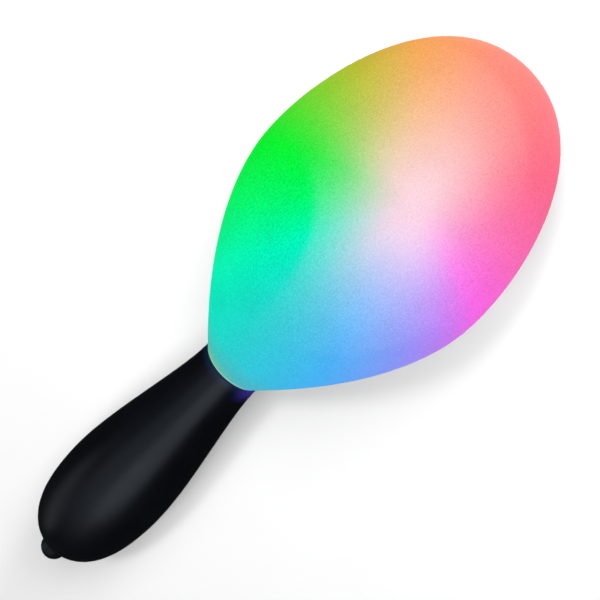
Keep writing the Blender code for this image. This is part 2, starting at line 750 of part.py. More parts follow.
def build_leds():
    """Three domed lamps in a ring on the light board."""
    base = LED_BOARD_Z + BOARD_THICKNESS / 2 + GAP
    outline = quarter_arc(LED_RADIUS, LED_HEIGHT - LED_RADIUS, LED_RADIUS, 4)
    outline += [(LED_RADIUS, LED_FLANGE), (LED_FLANGE_RADIUS, LED_FLANGE)]
    outline += [(LED_FLANGE_RADIUS, 0.0), (0.0, 0.0)]
    colours = (
        ("led_red", (1.0, 0.12, 0.1)),
        ("led_green", (0.1, 1.0, 0.2)),
        ("led_blue", (0.12, 0.25, 1.0)),
    )
    for number, (name, colour) in enumerate(colours):
        angle = math.tau * number / len(colours)
        lamp = turned(name, outline, 16)
        lamp.location = (LED_CIRCLE * math.cos(angle), LED_CIRCLE * math.sin(angle), base)
        add_part(lamp, plastic(name, colour, 0.2, glow=1.0))


def build_switch():
    """Tactile switch under the switch board, its plunger towards the button."""
    top = SWITCH_BOARD_Z - BOARD_THICKNESS / 2 - GAP
    low = top - SWITCH_HEIGHT
    half = SWITCH_SIDE / 2
    body = box("switch_body", (-half, -half, low), (half, half, top))
    plunger_low = low - PLUNGER_OUT
    plunger_top = plunger_low + PLUNGER_LENGTH
    bore_top = plunger_top + BUTTON_TRAVEL + GAP
    bore = cylinder("plunger_bore", PLUNGER_RADIUS + GAP, low - 1 * MM, bore_top)
    boolean(body, "DIFFERENCE", add_cutter(bore))
    add_part(body, plastic("switch_black", (0.025, 0.025, 0.025), 0.4))
    plunger = cylinder("switch_plunger", PLUNGER_RADIUS, 0.0, PLUNGER_LENGTH)
    plunger.location = (0.0, 0.0, plunger_low)
    add_part(plunger, plastic("plunger_white", (0.8, 0.8, 0.78), 0.4))
    return plunger_low


def build_button(plunger_low):
    """The domed button, with the flange that keeps it in the handle and a stem to the switch."""
    flange_low = BUTTON_SEAT_Z + GAP
    flange_top = flange_low + BUTTON_FLANGE
    stem_top = plunger_low - GAP
    start = math.asin(BUTTON_FACE_RADIUS / BUTTON_RADIUS)
    base = BUTTON_TIP_Z + BUTTON_RADIUS * math.cos(start)
    outline = [
        (0.0, stem_top),
        (BUTTON_STEM_RADIUS, stem_top),
        (BUTTON_STEM_RADIUS, flange_top),
        (BUTTON_FLANGE_RADIUS, flange_top),
        (BUTTON_FLANGE_RADIUS, flange_low),
        (BUTTON_RADIUS, flange_low),
    ]
    count = 7
    for i in range(count + 1):
        angle = math.pi / 2 + (start - math.pi / 2) * i / count
        outline.append((BUTTON_RADIUS * math.sin(angle), base - BUTTON_RADIUS * math.cos(angle)))
    outline.append(on_axis(outline[-1]))
    button = turned("button_cap", outline, SMALL_STEPS)
    add_part(button, plastic("button_rubber", (0.012, 0.012, 0.014), 0.45))
    wire = BUTTON_COIL_WIRE
    coil_low = flange_top + GAP + wire
    coil_top = SWITCH_BOARD_Z - BOARD_THICKNESS / 2 - GAP - wire
    points = coil_points(BUTTON_COIL_RADIUS, coil_low, coil_top, 5, 12)
    coil = rod_curve("button_spring", points, wire)
    add_part(coil, plastic("spring_steel", (0.62, 0.62, 0.64), 0.3, metallic=1.0))


def build_wires():
    """Leads from the contacts and the switch board to the light board, clear of the screw bosses."""
    board = LED_BOARD_Z - BOARD_THICKNESS / 2 - GAP
    neck_z, boss_z = UPPER_SCREWS[0][0], UPPER_SCREWS[1][0]
    switch_top = SWITCH_BOARD_Z + BOARD_THICKNESS / 2 + GAP
    side = WIRE_SIDE_Y
    tag_x = (TAG_X[0] + TAG_X[1]) / 2
    tag_y = (TAG_Y[0] + TAG_Y[1]) / 2
    top_tag_z = CRADLE_Z[1] - CRADLE_WALL + TAG_REACH
    low_tag_z = CRADLE_Z[0] + CRADLE_WALL - TAG_REACH + WIRE_RADIUS
    routes = {
        "wire_positive": [
            (tag_x, tag_y, top_tag_z),
            (tag_x, tag_y, top_tag_z + 2 * MM),
            (1.6 * MM, side, boss_z),
            (1.6 * MM, side, neck_z),
            (1.4 * MM, side, WIRE_BEND_Z),
            (1.2 * MM, 4.4 * MM, WIRE_RISE_Z),
            (1.2 * MM, 4.4 * MM, board),
        ],
        "wire_negative": [
            (-0.6 * MM, -tag_y, low_tag_z),
            (-2.2 * MM, -4.6 * MM, low_tag_z),
            (-2.6 * MM, -5.0 * MM, low_tag_z + 1.5 * MM),
            (-2.6 * MM, -side, BULB_PASS_Z),
            (-1.2 * MM, -side, boss_z),
            (-1.2 * MM, -side, neck_z),
            (-1.2 * MM, -side, WIRE_BEND_Z),
            (-1.2 * MM, -4.4 * MM, WIRE_RISE_Z),
            (-1.2 * MM, -4.4 * MM, board),
        ],
    }
    for name, sign in (("wire_switch_a", 1), ("wire_switch_b", -1)):
        routes[name] = [
            (-7 * MM, sign * 3.0 * MM, switch_top),
            (-7 * MM, sign * 3.4 * MM, switch_top + 3 * MM),
            (-6.5 * MM, sign * side, BULB_PASS_Z),
            (-5.5 * MM, sign * side, boss_z),
            (-4.4 * MM, sign * side, neck_z),
            (-4.2 * MM, sign * 4.4 * MM, WIRE_BEND_Z),
            (-3.8 * MM, sign * 2.6 * MM, WIRE_RISE_Z),
            (-3.8 * MM, sign * 2.6 * MM, board),
        ]
    colours = {
        "wire_positive": (0.55, 0.02, 0.02),
        "wire_negative": (0.02, 0.02, 0.02),
        "wire_switch_a": (0.75, 0.6, 0.05),
        "wire_switch_b": (0.75, 0.75, 0.73),
    }
    for name, route in routes.items():
        add_part(rod_curve(name, route, WIRE_RADIUS), plastic(name, colours[name], 0.5))


# ---------------------------------------------------------------------------- lying on the table


def rest_tilt():
    """The angle at which head and handle bulb touch the table together."""
    head = head_outline(60)
    handle = handle_outline(60)
    tilt = 0.0
    for _ in range(20):
        slope = math.tan(tilt)
        low_head = max(head, key=lambda point: point[0] - slope * point[1])
        low_handle = max(handle, key=lambda point: point[0] - slope * point[1])
        tilt = math.atan((low_head[0] - low_handle[0]) / (low_head[1] - low_handle[1]))
    return tilt


def lay_down(instrument):
    """Tilt the instrument onto the table and centre its box over the origin."""
    tilt = rest_tilt()
    outline = head_outline(60) + handle_outline(60)
    outline += [(BUTTON_FACE_RADIUS, BUTTON_TIP_Z), (BUTTON_RADIUS, BUTTON_TIP_Z + BUTTON_RADIUS)]
    lengthwise = [z * math.cos(tilt) + r * math.sin(tilt) * side for r, z in outline for side in (-1, 1)]
    lowest = min(z * math.sin(tilt) - r * math.cos(tilt) for r, z in outline)
    instrument.rotation_euler = (0.0, math.pi / 2 - tilt, 0.0)
    instrument.location = (-(min(lengthwise) + max(lengthwise)) / 2, 0.0, -lowest)


def main():
    clear_scene()
    Kit.parts = new_collection("light_up_maraca")
    Kit.cutters = new_collection("cutters")
    Kit.instrument = bpy.data.objects.new("instrument", None)
    Kit.parts.objects.link(Kit.instrument)
    lay_down(Kit.instrument)
    build_head()
    build_window()
    build_beads()
    build_handle_shells()
    build_handle_screws()
    build_battery_door()
    build_cradle()
    build_cells()
    build_contacts()
    build_boards()
    build_leds()
    plunger_low = build_switch()
    build_button(plunger_low)
    build_wires()


main()
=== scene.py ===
"""Looks for the light-up maraca: glowing frosted head, satin black grip, every part inside.

Shapes are built in the instrument's own frame, then moved to their place on the table.
Instrument frame: +Z runs from the handle to the head, z = 0 at the head's mouth, and +X points
to the rear side, which holds the screws and the battery door and lies underneath at rest.
"""

import json
from math import asin, cos, pi, radians, sin, tau

import bmesh
import bpy
from mathutils import Matrix, Vector

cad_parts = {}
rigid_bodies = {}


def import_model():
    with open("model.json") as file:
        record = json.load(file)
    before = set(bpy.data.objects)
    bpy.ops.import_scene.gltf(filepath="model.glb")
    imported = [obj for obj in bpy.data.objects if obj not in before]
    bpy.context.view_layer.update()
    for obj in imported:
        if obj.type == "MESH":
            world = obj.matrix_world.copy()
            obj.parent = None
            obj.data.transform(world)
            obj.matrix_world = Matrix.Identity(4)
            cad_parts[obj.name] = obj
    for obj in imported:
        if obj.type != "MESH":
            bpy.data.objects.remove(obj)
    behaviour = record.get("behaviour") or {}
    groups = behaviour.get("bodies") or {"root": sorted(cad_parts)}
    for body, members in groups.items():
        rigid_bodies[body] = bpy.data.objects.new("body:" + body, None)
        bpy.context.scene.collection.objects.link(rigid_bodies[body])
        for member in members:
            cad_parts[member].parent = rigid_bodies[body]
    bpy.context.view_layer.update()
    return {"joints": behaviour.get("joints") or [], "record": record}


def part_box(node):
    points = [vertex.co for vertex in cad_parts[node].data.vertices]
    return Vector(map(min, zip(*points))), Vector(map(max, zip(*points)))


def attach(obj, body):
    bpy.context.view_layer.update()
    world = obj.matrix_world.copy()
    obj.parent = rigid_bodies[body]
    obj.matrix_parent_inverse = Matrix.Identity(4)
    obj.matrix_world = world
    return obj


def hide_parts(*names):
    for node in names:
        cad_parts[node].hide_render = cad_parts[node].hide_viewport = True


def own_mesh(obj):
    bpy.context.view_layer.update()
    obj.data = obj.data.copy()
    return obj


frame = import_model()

MM = 0.001
GAP = 0.3 * MM

# Head
HEAD_RADIUS = 35.0 * MM
HEAD_BELLY_Z = 57.2 * MM
HEAD_CROWN_Z = 108.5 * MM
HEAD_WALL = 1.5 * MM
MOUTH_RADIUS = 9.6 * MM
MOUTH_FLARE = radians(36.3)
MOUTH_ARM = 19.7 * MM
BELLY_ARM_DOWN = 18.8 * MM
BELLY_ARM_UP = 17.2 * MM
CROWN_ARM = 25.6 * MM

# Handle
HANDLE_RADIUS = 17.5 * MM
HANDLE_BELLY_Z = -64.2 * MM
HANDLE_END_Z = -95.9 * MM
HANDLE_WALL = 1.8 * MM
NECK_RADIUS = 9.5 * MM
NECK_FLARE = 0.023
END_ARM = 14.9 * MM
BULB_ARM_DOWN = 17.6 * MM
BULB_ARM_UP = 19.9 * MM
NECK_ARM = 13.6 * MM
SPIGOT_RADIUS = 7.4 * MM
SPIGOT_BORE = 5.9 * MM
SNAP_RADIUS = 8.5 * MM
SNAP_Z = 1.6 * MM
SPIGOT_TOP_Z = 3.0 * MM
SHOULDER_Z = -0.4 * MM

# Clear window over the lights
WINDOW_BRIM = 1.1 * MM
WINDOW_SKIRT_WALL = 0.9 * MM
WINDOW_SKIRT_Z = 1.2 * MM
WINDOW_DOME_HEIGHT = 5.0 * MM
WINDOW_HOLLOW_HEIGHT = 4.0 * MM

# Boards and lights
LED_BOARD_RADIUS = 6.6 * MM
LED_BOARD_Z = -1.85 * MM
SWITCH_BOARD_RADIUS = 11.6 * MM
SWITCH_BOARD_Z = -84.6 * MM
BOARD_THICKNESS = 1.2 * MM
GROOVE_RIB = 1.0 * MM
GROOVE_DEPTH = 1.0 * MM
VIA_RADIUS = 0.35 * MM
VIA_REACH_SHARE = 0.8
CHIP_HEIGHT = 1.5 * MM
CHIP_HALF_SIDES = (1.95 * MM, 2.45 * MM)
CHIP_LEG_PITCH = 1.1 * MM
LED_RADIUS = 1.5 * MM
LED_FLANGE_RADIUS = 1.9 * MM
LED_FLANGE = 1.0 * MM
LED_HEIGHT = 5.3 * MM
LED_CIRCLE = 2.7 * MM

# Rattle beads
BEAD_RADIUS = 2.2 * MM
BEAD_COUNT = 12
BEAD_SEAM_SWELL = 1.012

# Push button and its switch
BUTTON_RADIUS = 4.6 * MM
BUTTON_TIP_Z = -106.3 * MM
BUTTON_FACE_RADIUS = 1.5 * MM
BUTTON_FLANGE_RADIUS = 6.2 * MM
BUTTON_FLANGE = 1.2 * MM
BUTTON_STEM_RADIUS = 2.0 * MM
BUTTON_SEAT_Z = -93.0 * MM
BUTTON_TRAVEL = 1.0 * MM
BUTTON_DOME_STEPS = 24
BUTTON_COIL_RADIUS = 5.0 * MM
BUTTON_COIL_WIRE = 0.35 * MM
SWITCH_SIDE = 6.0 * MM
SWITCH_HEIGHT = 3.6 * MM
PLUNGER_RADIUS = 1.75 * MM
PLUNGER_LENGTH = 2.7 * MM
PLUNGER_OUT = 1.5 * MM
RIVET_RADIUS = 0.4 * MM
RIVET_HEIGHT = 0.2 * MM
RIVET_REACH = 2.3 * MM

# Power
CELL_RADIUS = 5.8 * MM
CELL_HEIGHT = 5.4 * MM
CELL_COUNT = 3
CELL_AXIS_X = 6.5 * MM
CELL_FIRST_Z = -76.9 * MM
CRADLE_WALL = 1.2 * MM
CRADLE_HEIGHT = 11.5 * MM
CRADLE_FLOOR_X = -1.0 * MM
CRADLE_HALF_WIDTH = 7.3 * MM
CRADLE_Z = (-81.0 * MM, -57.9 * MM)
EAR_RADIUS = 2.9 * MM
EAR_STRAP_SHARE = 0.8
POST_WALL = 0.9 * MM
TAG_SLOT_X = (1.0 * MM, 2.6 * MM)
TAG_SLOT_REACH = 1.3 * MM
DOOR_HALF_WIDTH = 6.9 * MM
DOOR_Z = (-82.0 * MM, -52.6 * MM)
DOOR_WALL = 1.6 * MM
DOOR_CORNER = 2.0 * MM
DOOR_SCREW_Z = -55.3 * MM
DOOR_SEAT_DEPTH = 2.6 * MM
DOOR_INNER_X = 9.0 * MM
DOOR_BOSS_WALL = 1.3 * MM
DOOR_BOSS_FLOOR = 1.6 * MM

# Contacts in the cradle, with solder tags that pass through its end walls
CONTACT_X = (1.0 * MM, 10.0 * MM)
CONTACT_Y = (-5.0 * MM, 5.4 * MM)
CONTACT_THICKNESS = 0.5 * MM
TAG_X = (1.4 * MM, 2.1 * MM)
TAG_Y = (3.6 * MM, 5.3 * MM)
CONTACT_COIL_RADIUS = 4.0 * MM
CONTACT_COIL_WIRE = 0.3 * MM
CONTACT_COIL_TAPER = 0.45

# Screws: (z, y) on the rear side
UPPER_SCREWS = ((-16.0 * MM, 0.0), (-44.0 * MM, 0.0))
LOWER_SCREWS = ((-68.0 * MM, 11.6 * MM), (-68.0 * MM, -11.6 * MM))
HANDLE_SCREWS = UPPER_SCREWS + LOWER_SCREWS
SCREW_HEAD_RADIUS = 1.9 * MM
SCREW_HEAD_HEIGHT = 1.3 * MM
SCREW_SHANK_RADIUS = 0.95 * MM
SCREW_LENGTH = 8.5 * MM
THREAD_PITCH = 0.55 * MM
THREAD_DEPTH = 0.22 * MM
BOSS_RADIUS = 3.1 * MM
BOSS_SEAT_X = 3.2 * MM

# Wires
WIRE_RADIUS = 0.5 * MM
WIRE_SIDE_Y = 5.4 * MM
WIRE_BEND_Z = -10.0 * MM
WIRE_RISE_Z = -6.0 * MM
BULB_PASS_Z = -70.0 * MM

# Cutters end beyond the handle's skin at OUTSIDE, and beyond everything at FAR.
OUTSIDE = 25 * MM
FAR = 120 * MM
FINE_STEPS = 144
MID_STEPS = 96
SMALL_STEPS = 48
OUTLINE_STEPS = 36
CREASE = radians(32)
CUT, ADD, KEEP = "DIFFERENCE", "UNION", "INTERSECT"


# -------- frame and record


def named(items, name):
    return next(item for item in items if item["name"] == name)


def instrument_matrix():
    """The instrument's frame in the row's, from the button's slide and the grip's place."""
    axis = Vector(named(frame["joints"], "button_press")["axis"]).normalized()
    rear = (axis.z, 0.0, -axis.x)
    grip = named(frame["record"]["mounts"], "hand_grip")
    mouth = Vector(grip["pos_m"]) - axis * HANDLE_BELLY_Z
    rows = [(rear[k], (0.0, 1.0, 0.0)[k], axis[k], mouth[k]) for k in range(3)]
    return Matrix(rows + [(0.0, 0.0, 0.0, 1.0)])


INSTRUMENT = instrument_matrix()
SLOTS = {part["node"]: part["material_slot"] for part in frame["record"]["subparts"]}
BODY_OF = {
    node: body
    for body, nodes in frame["record"]["behaviour"]["bodies"].items()
    for node in nodes
}


# -------- outlines, as (radius, z) points


def bezier(*corners, count):
    """Points along a cubic curve, with both ends."""
    points = []
    for i in range(count + 1):
        t = i / count
        s = 1.0 - t
        weights = (s**3, 3 * s * s * t, 3 * s * t * t, t**3)
        points.append(tuple(sum(w * p[k] for w, p in zip(weights, corners)) for k in (0, 1)))
    return points


def curved(start, start_arm, belly, arm_up, arm_down, end_arm, end, count):
    """Two curves, from start to end, that meet upright at the belly."""
    radius, z = belly
    upper = bezier(start, start_arm, (radius, z + arm_up), belly, count=count)
    lower = bezier(belly, (radius, z - arm_down), end_arm, end, count=count)
    return upper + lower[1:]


def head_outline(count=OUTLINE_STEPS):
    """The egg, from the crown down to the mouth."""
    crown, crown_arm = (0.0, HEAD_CROWN_Z), (CROWN_ARM, HEAD_CROWN_Z)
    mouth = (MOUTH_RADIUS, 0.0)
    flare_radius = MOUTH_RADIUS + MOUTH_ARM * sin(MOUTH_FLARE)
    flare = (flare_radius, MOUTH_ARM * cos(MOUTH_FLARE))
    belly = (HEAD_RADIUS, HEAD_BELLY_Z)
    return curved(crown, crown_arm, belly, BELLY_ARM_UP, BELLY_ARM_DOWN, flare, mouth, count)


def handle_outline(count=OUTLINE_STEPS):
    """The grip, from the shoulder under the head down to the pole of the blunt end."""
    neck = (NECK_RADIUS, SHOULDER_Z)
    flare_radius = NECK_RADIUS - NECK_ARM * sin(NECK_FLARE)
    flare = (flare_radius, SHOULDER_Z - NECK_ARM * cos(NECK_FLARE))
    pole_arm, pole = (END_ARM, HANDLE_END_Z), (0.0, HANDLE_END_Z)
    belly = (HANDLE_RADIUS, HANDLE_BELLY_Z)
    return curved(neck, flare, belly, BULB_ARM_UP, BULB_ARM_DOWN, pole_arm, pole, count)


def inset(outline, depth):
    """The outline moved inwards by depth, square to itself."""
    result = []
    for i, (radius, z) in enumerate(outline):
        before = outline[max(i - 1, 0)]
        after = outline[min(i + 1, len(outline) - 1)]
        way = Vector((after[0] - before[0], after[1] - before[1])).normalized()
        result.append((radius + way.y * depth, z - way.x * depth))
    return result


def on_axis(point):
    return (0.0, point[1])


def radius_at(outline, z):
    """The outline's radius at a height, between its points."""
    for (r0, z0), (r1, z1) in zip(outline, outline[1:]):
        if min(z0, z1) <= z <= max(z0, z1):
            return r0 + (r1 - r0) * (z - z0) / (z1 - z0)
    return 0.0


def quarter_arc(radius, z_base, height, count=12):
    """A quarter ellipse from the axis out to radius, ending at z_base."""
    angles = [pi / 2 * i / count for i in range(count + 1)]
    return [(radius * sin(a), z_base + height * cos(a)) for a in angles]


def rounded(outline, size, corners, count=4):
    """The outline with these corners turned into small arcs, where their sides leave room."""
    result = []
    for i, point in enumerate(outline):
        here = Vector(point)
        sides = [Vector(outline[k]) - here for k in (i - 1, (i + 1) % len(outline))]
        if i not in corners or min(side.length for side in sides) < size * 2.05:
            result.append(point)
            continue
        start, end = (here + side.normalized() * size for side in sides)
        for k in range(count + 1):
            t = k / count
            place = start * (1 - t) ** 2 + here * (2 * t * (1 - t)) + end * t * t
            result.append(tuple(place))
    return result


# -------- mesh tools


def shown(name, data):
    """A new object in the scene."""
    obj = bpy.data.objects.new(name, data)
    bpy.context.scene.collection.objects.link(obj)
    return obj


def solid(shape):
    """A mesh object of the bmesh shape, in the instrument's frame and not yet in the scene."""
    mesh = bpy.data.meshes.new("solid")
    shape.to_mesh(mesh)
    shape.free()
    return bpy.data.objects.new("solid", mesh)


def turned(outline, steps=FINE_STEPS):
    """A closed solid: a profile turned about Z, down its outer side and back up its inner one."""
    shape = bmesh.new()
    angles = [tau * i / steps for i in range(steps)]
    rings = []
    for radius, z in outline:
        if radius < 0.001 * MM:
            places = [(0.0, 0.0, z)]
        else:
            places = [(radius * cos(a), radius * sin(a), z) for a in angles]
        rings.append([shape.verts.new(place) for place in places])
    pairs = list(zip(rings, rings[1:]))
    if len(rings[0]) > 1:
        pairs.append((rings[-1], rings[0]))
    for above, below in pairs:
        for i in range(steps):
            corners = [above[i % len(above)], below[i % len(below)]]
            corners += [below[(i + 1) % len(below)], above[(i + 1) % len(above)]]
            corners = list(dict.fromkeys(corners))
            if len(corners) > 2:
                shape.faces.new(corners)
    bmesh.ops.recalc_face_normals(shape, faces=shape.faces)
    return solid(shape)


def box(low, high, edge=0.0, segments=3):
    """A box, with its edges rounded by edge."""
    shape = bmesh.new()
    bmesh.ops.create_cube(shape, size=1.0)
    bmesh.ops.scale(shape, vec=[high[k] - low[k] for k in range(3)], verts=shape.verts)
    centre = Vector([(high[k] + low[k]) / 2 for k in range(3)])
    bmesh.ops.translate(shape, vec=centre, verts=shape.verts)
    if edge:
        bmesh.ops.bevel(
            shape, geom=shape.edges[:], offset=edge, segments=segments, profile=0.5, affect="EDGES"
        )
    return solid(shape)


def cylinder(radius, z_low, z_high, steps=SMALL_STEPS, edge=0.0):
    outline = [(0.0, z_high), (radius, z_high), (radius, z_low), (0.0, z_low)]
    if edge:
        outline = rounded(outline, edge, corners=(1, 2))
    return turned(outline, steps)


def moved(obj, matrix):
    obj.data.transform(matrix)
    return obj


def to_rear(obj, y, z, x=0.0):
    """Turn obj so that its own +Z becomes the instrument's +X, through (x, y, z)."""
    return moved(obj, Matrix.Translation((x, y, z)) @ Matrix.Rotation(pi / 2, 4, "Y"))


def along(obj, x, y, z):
    return moved(obj, Matrix.Translation((x, y, z)))


def evaluated_mesh(obj):
    linked = bpy.context.scene.collection.objects
    linked.link(obj)
    bpy.context.view_layer.update()
    graph = bpy.context.evaluated_depsgraph_get()
    mesh = bpy.data.meshes.new_from_object(obj.evaluated_get(graph))
    linked.unlink(obj)
    return mesh


def shaped(obj, *steps):
    """The object after (operation, other solid) steps, each an exact Boolean."""
    for operation, other in steps:
        modifier = obj.modifiers.new(operation, "BOOLEAN")
        modifier.operation = operation
        modifier.solver = "EXACT"
        modifier.object = other
    mesh = evaluated_mesh(obj)
    obj.modifiers.clear()
    obj.data = mesh
    return obj


def joined(obj, *others):
    """One object holding obj and the others as loose shells of the same piece."""
    shape = bmesh.new()
    for other in (obj, *others):
        shape.from_mesh(other.data)
    shape.to_mesh(obj.data)
    shape.free()
    return obj


def tube(points, radius, smooth=True):
    """A round rod or wire through points, its bends eased, with closed ends."""
    curve = bpy.data.curves.new("tube", "CURVE")
    curve.dimensions = "3D"
    curve.bevel_depth = radius
    curve.bevel_resolution = 4
    curve.resolution_u = 8
    curve.use_fill_caps = True
    spline = curve.splines.new("NURBS" if smooth else "POLY")
    spline.points.add(len(points) - 1)
    for place, point in zip(spline.points, points):
        place.co = (*point, 1.0)
    spline.use_endpoint_u = True
    spline.order_u = 4
    shape = bmesh.new()
    shape.from_mesh(evaluated_mesh(bpy.data.objects.new("tube", curve)))
    bmesh.ops.remove_doubles(shape, verts=shape.verts, dist=0.001 * MM)
    return solid(shape)


def coil_points(radius, z_low, z_high, turns, per_turn, taper=1.0):
    """Points up a coil with one flat turn at each end."""
    count = turns * per_turn
    points = []
    for i in range(count + 1):
        share = i / count
        rise = min(max((share * turns - 1) / (turns - 2), 0.0), 1.0)
        size = radius * (1 + (taper - 1) * share)
        angle = tau * i / per_turn
        height = z_low + (z_high - z_low) * rise
        points.append((size * cos(angle), size * sin(angle), height))
    return points


PAINTS = {}


def finish(obj, node, crease=CREASE):
    """Lay the shape on the table, paint it, and let it stand for its CAD node."""
    piece = shown(node + "_finished", obj.data)
    piece.data.transform(INSTRUMENT)
    piece.data.materials.clear()
    piece.data.materials.append(PAINTS[SLOTS[node]])
    piece.data.shade_smooth()
    piece.data.set_sharp_from_angle(angle=crease)
    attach(piece, BODY_OF[node])
    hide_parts(node)
    return piece


# -------- material tools


def shares(code):
    """The shares of red, green and blue that six hexadecimal digits stand for, as shown."""
    return tuple(int(code[i : i + 2], 16) / 255 for i in (0, 2, 4))


def linear(code):
    """The same colour as linear light."""
    return tuple(
        s / 12.92 if s <= 0.04045 else ((s + 0.055) / 1.055) ** 2.4 for s in shares(code)
    )


class Nodes:
    """Short calls that add shader nodes to a material or a world and join them."""

    def __init__(self, owner):
        owner.use_nodes = True
        self.tree = owner.node_tree

    def add(self, kind, *values, **settings):
        """A new node with these properties, its first inputs filled with the values."""
        node = self.tree.nodes.new("ShaderNode" + kind)
        for name, setting in settings.items():
            setattr(node, name, setting)
        for socket, value in zip(node.inputs, values):
            self.put(socket, value)
        return node

    def put(self, socket, value):
        if isinstance(value, bpy.types.NodeSocket):
            self.tree.links.new(value, socket)
        elif isinstance(value, tuple) and len(value) == 3 and socket.type == "RGBA":
            socket.default_value = (*value, 1.0)
        else:
            socket.default_value = value

    def fill(self, node, **values):
        """The node with its named inputs filled. An underscore stands for a space."""
        for name, value in values.items():
            self.put(node.inputs[name.replace("_", " ")], value)
        return node

    def math(self, operation, *values):
        return self.add("Math", *values, operation=operation).outputs[0]

    def times(self, a, b):
        return self.math("MULTIPLY", a, b)

    def vector(self, operation, *values, output=0):
        return self.add("VectorMath", *values, operation=operation).outputs[output]

    def dot(self, a, b):
        return self.vector("DOT_PRODUCT", a, b, output=1)

    def scaled(self, colour, factor):
        node = self.add("VectorMath", colour, operation="SCALE")
        return self.fill(node, Scale=factor).outputs[0]

    def split(self, vector):
        return self.add("SeparateXYZ", vector).outputs

    def span(self, *values, kind="LINEAR"):
        """The first value, carried from the range of the next two to 0-1 or that of two more."""
        return self.add("MapRange", *values, interpolation_type=kind).outputs[0]

    def ease(self, *values):
        return self.span(*values, kind="SMOOTHSTEP")

    def mix(self, share, a, b):
        node = self.add("Mix", share, data_type="RGBA")
        self.put(node.inputs[6], a)
        self.put(node.inputs[7], b)
        return node.outputs[2]

    def wheel(self, turn, hues):
        """A colour ramp whose two ends meet: both hold the blend of the first and last hues."""
        (first, start), (last, end) = hues[0], hues[-1]
        share = (1 - last) / (first + 1 - last)
        meet = tuple(a + (b - a) * share for a, b in zip(shares(end), shares(start)))
        ramp = self.add("ValToRGB", turn)
        elements = ramp.color_ramp.elements
        for element in elements:
            element.color = (*meet, 1.0)
        for place, code in hues:
            elements.new(place).color = (*shares(code), 1.0)
        return ramp.outputs[0]


class Paint(Nodes):
    """A material whose patterns sit in the instrument's frame."""

    def __init__(self, name):
        self.material = bpy.data.materials.new(name)
        super().__init__(self.material)
        self.surface = self.tree.nodes["Principled BSDF"]
        mapping = self.add("Mapping", self.add("TexCoord").outputs["Object"], vector_type="TEXTURE")
        place, turn = INSTRUMENT.translation, INSTRUMENT.to_euler()
        self.place = self.fill(mapping, Location=place, Rotation=turn).outputs[0]

    def noise(self, scale, detail=2.0, roughness=0.5, place=None):
        place = place or self.place
        node = self.add("TexNoise")
        self.fill(node, Vector=place, Scale=scale, Detail=detail, Roughness=roughness)
        return node.outputs["Fac"]

    def bump(self, height, strength, distance):
        node = self.fill(self.add("Bump"), Height=height, Strength=strength, Distance=distance)
        self.put(self.surface.inputs["Normal"], node.outputs[0])

    def finished(self, **values):
        self.fill(self.surface, **values)
        return self.material


# -------- head material

# The glow is a wheel of colour seen from the front: hues run round a pale centre.
# Angles are in degrees from the right-hand side of the camera's picture, turning to its top.
# The hues are colours as shown, not linear light.
# They run from sea green through blue, violet, rose, coral, amber and lime back to green.
GLOW_HUES = (
    (-165, "00f5b6"), (-140, "30d2d5"), (-115, "49b4fc"), (-88, "8d93fd"), (-70, "c27ff8"),
    (-52, "fc68eb"), (-20, "fc6db5"), (15, "fd6784"), (60, "fc8471"), (85, "f09a42"),
    (108, "aebb24"), (130, "61db2c"), (150, "09f230"), (175, "04f86f"),
)
# The pale centre runs from lavender below to peach above.
GLOW_CENTRE_HUES = ("ffd7ff", "f5cec2")
GLOW_CENTRE_SPAN = 18.3 * MM
GLOW_CENTRE = (-32.3 * MM, -3.1 * MM, 77.0 * MM)
GLOW_REACH = 19.55 * MM
GLOW_SHIFT = (0.153, 1.878)
GLOW_STRETCH = (0.257, 1.173)

# The pale centre loses some of its share in a faint ring: another oval, further along the head.
RING_CENTRE = (50.0 * MM, 8.0 * MM)
RING_REACH = (37.5 * MM, 34.5 * MM)
RING_EDGE = (0.92, 1.12)
RING_SHARE = 0.5

# The green lamp's lobe, an oval along the head that is saturated right up to its edge.
LOBE_CENTRE = (19.8 * MM, 24.4 * MM)
LOBE_REACH = (26.6 * MM, 19.9 * MM)
LOBE_EDGE = (0.88, 1.22)

# Hues are blended as a screen shows them, then turned into light with this power.
SCREEN_GAMMA = 2.2

GLOW_STRENGTH = 0.88
GLOW_GRAIN = 0.30
PALE_GRAIN_SHARE = 0.45
UNLIT_SHARE = 0.10

# The glow painted at the head's lip: grey, yellow-green on its left, and a bright pale line along
# the edge
LIP_GREY_GLOW, LIP_LIME_GLOW, LIP_EDGE_GLOW = "5fb0b4", "74c489", "9fd2cc"

# The camera's lean towards the head, and the instrument's slant in the picture.
CAMERA_LEAN = radians(26.0)
PICTURE_SLANT = radians(45.2)


def picture_axes():
    """Towards the camera, right and up in the picture, and along the head."""
    back = Vector((-cos(CAMERA_LEAN), 0.0, sin(CAMERA_LEAN)))
    lengthwise = (Vector((0.0, 0.0, 1.0)) - back * back.z).normalized()
    across = back.cross(lengthwise)
    c, s = cos(PICTURE_SLANT), sin(PICTURE_SLANT)
    return back, lengthwise * c - across * s, lengthwise * s + across * c, lengthwise


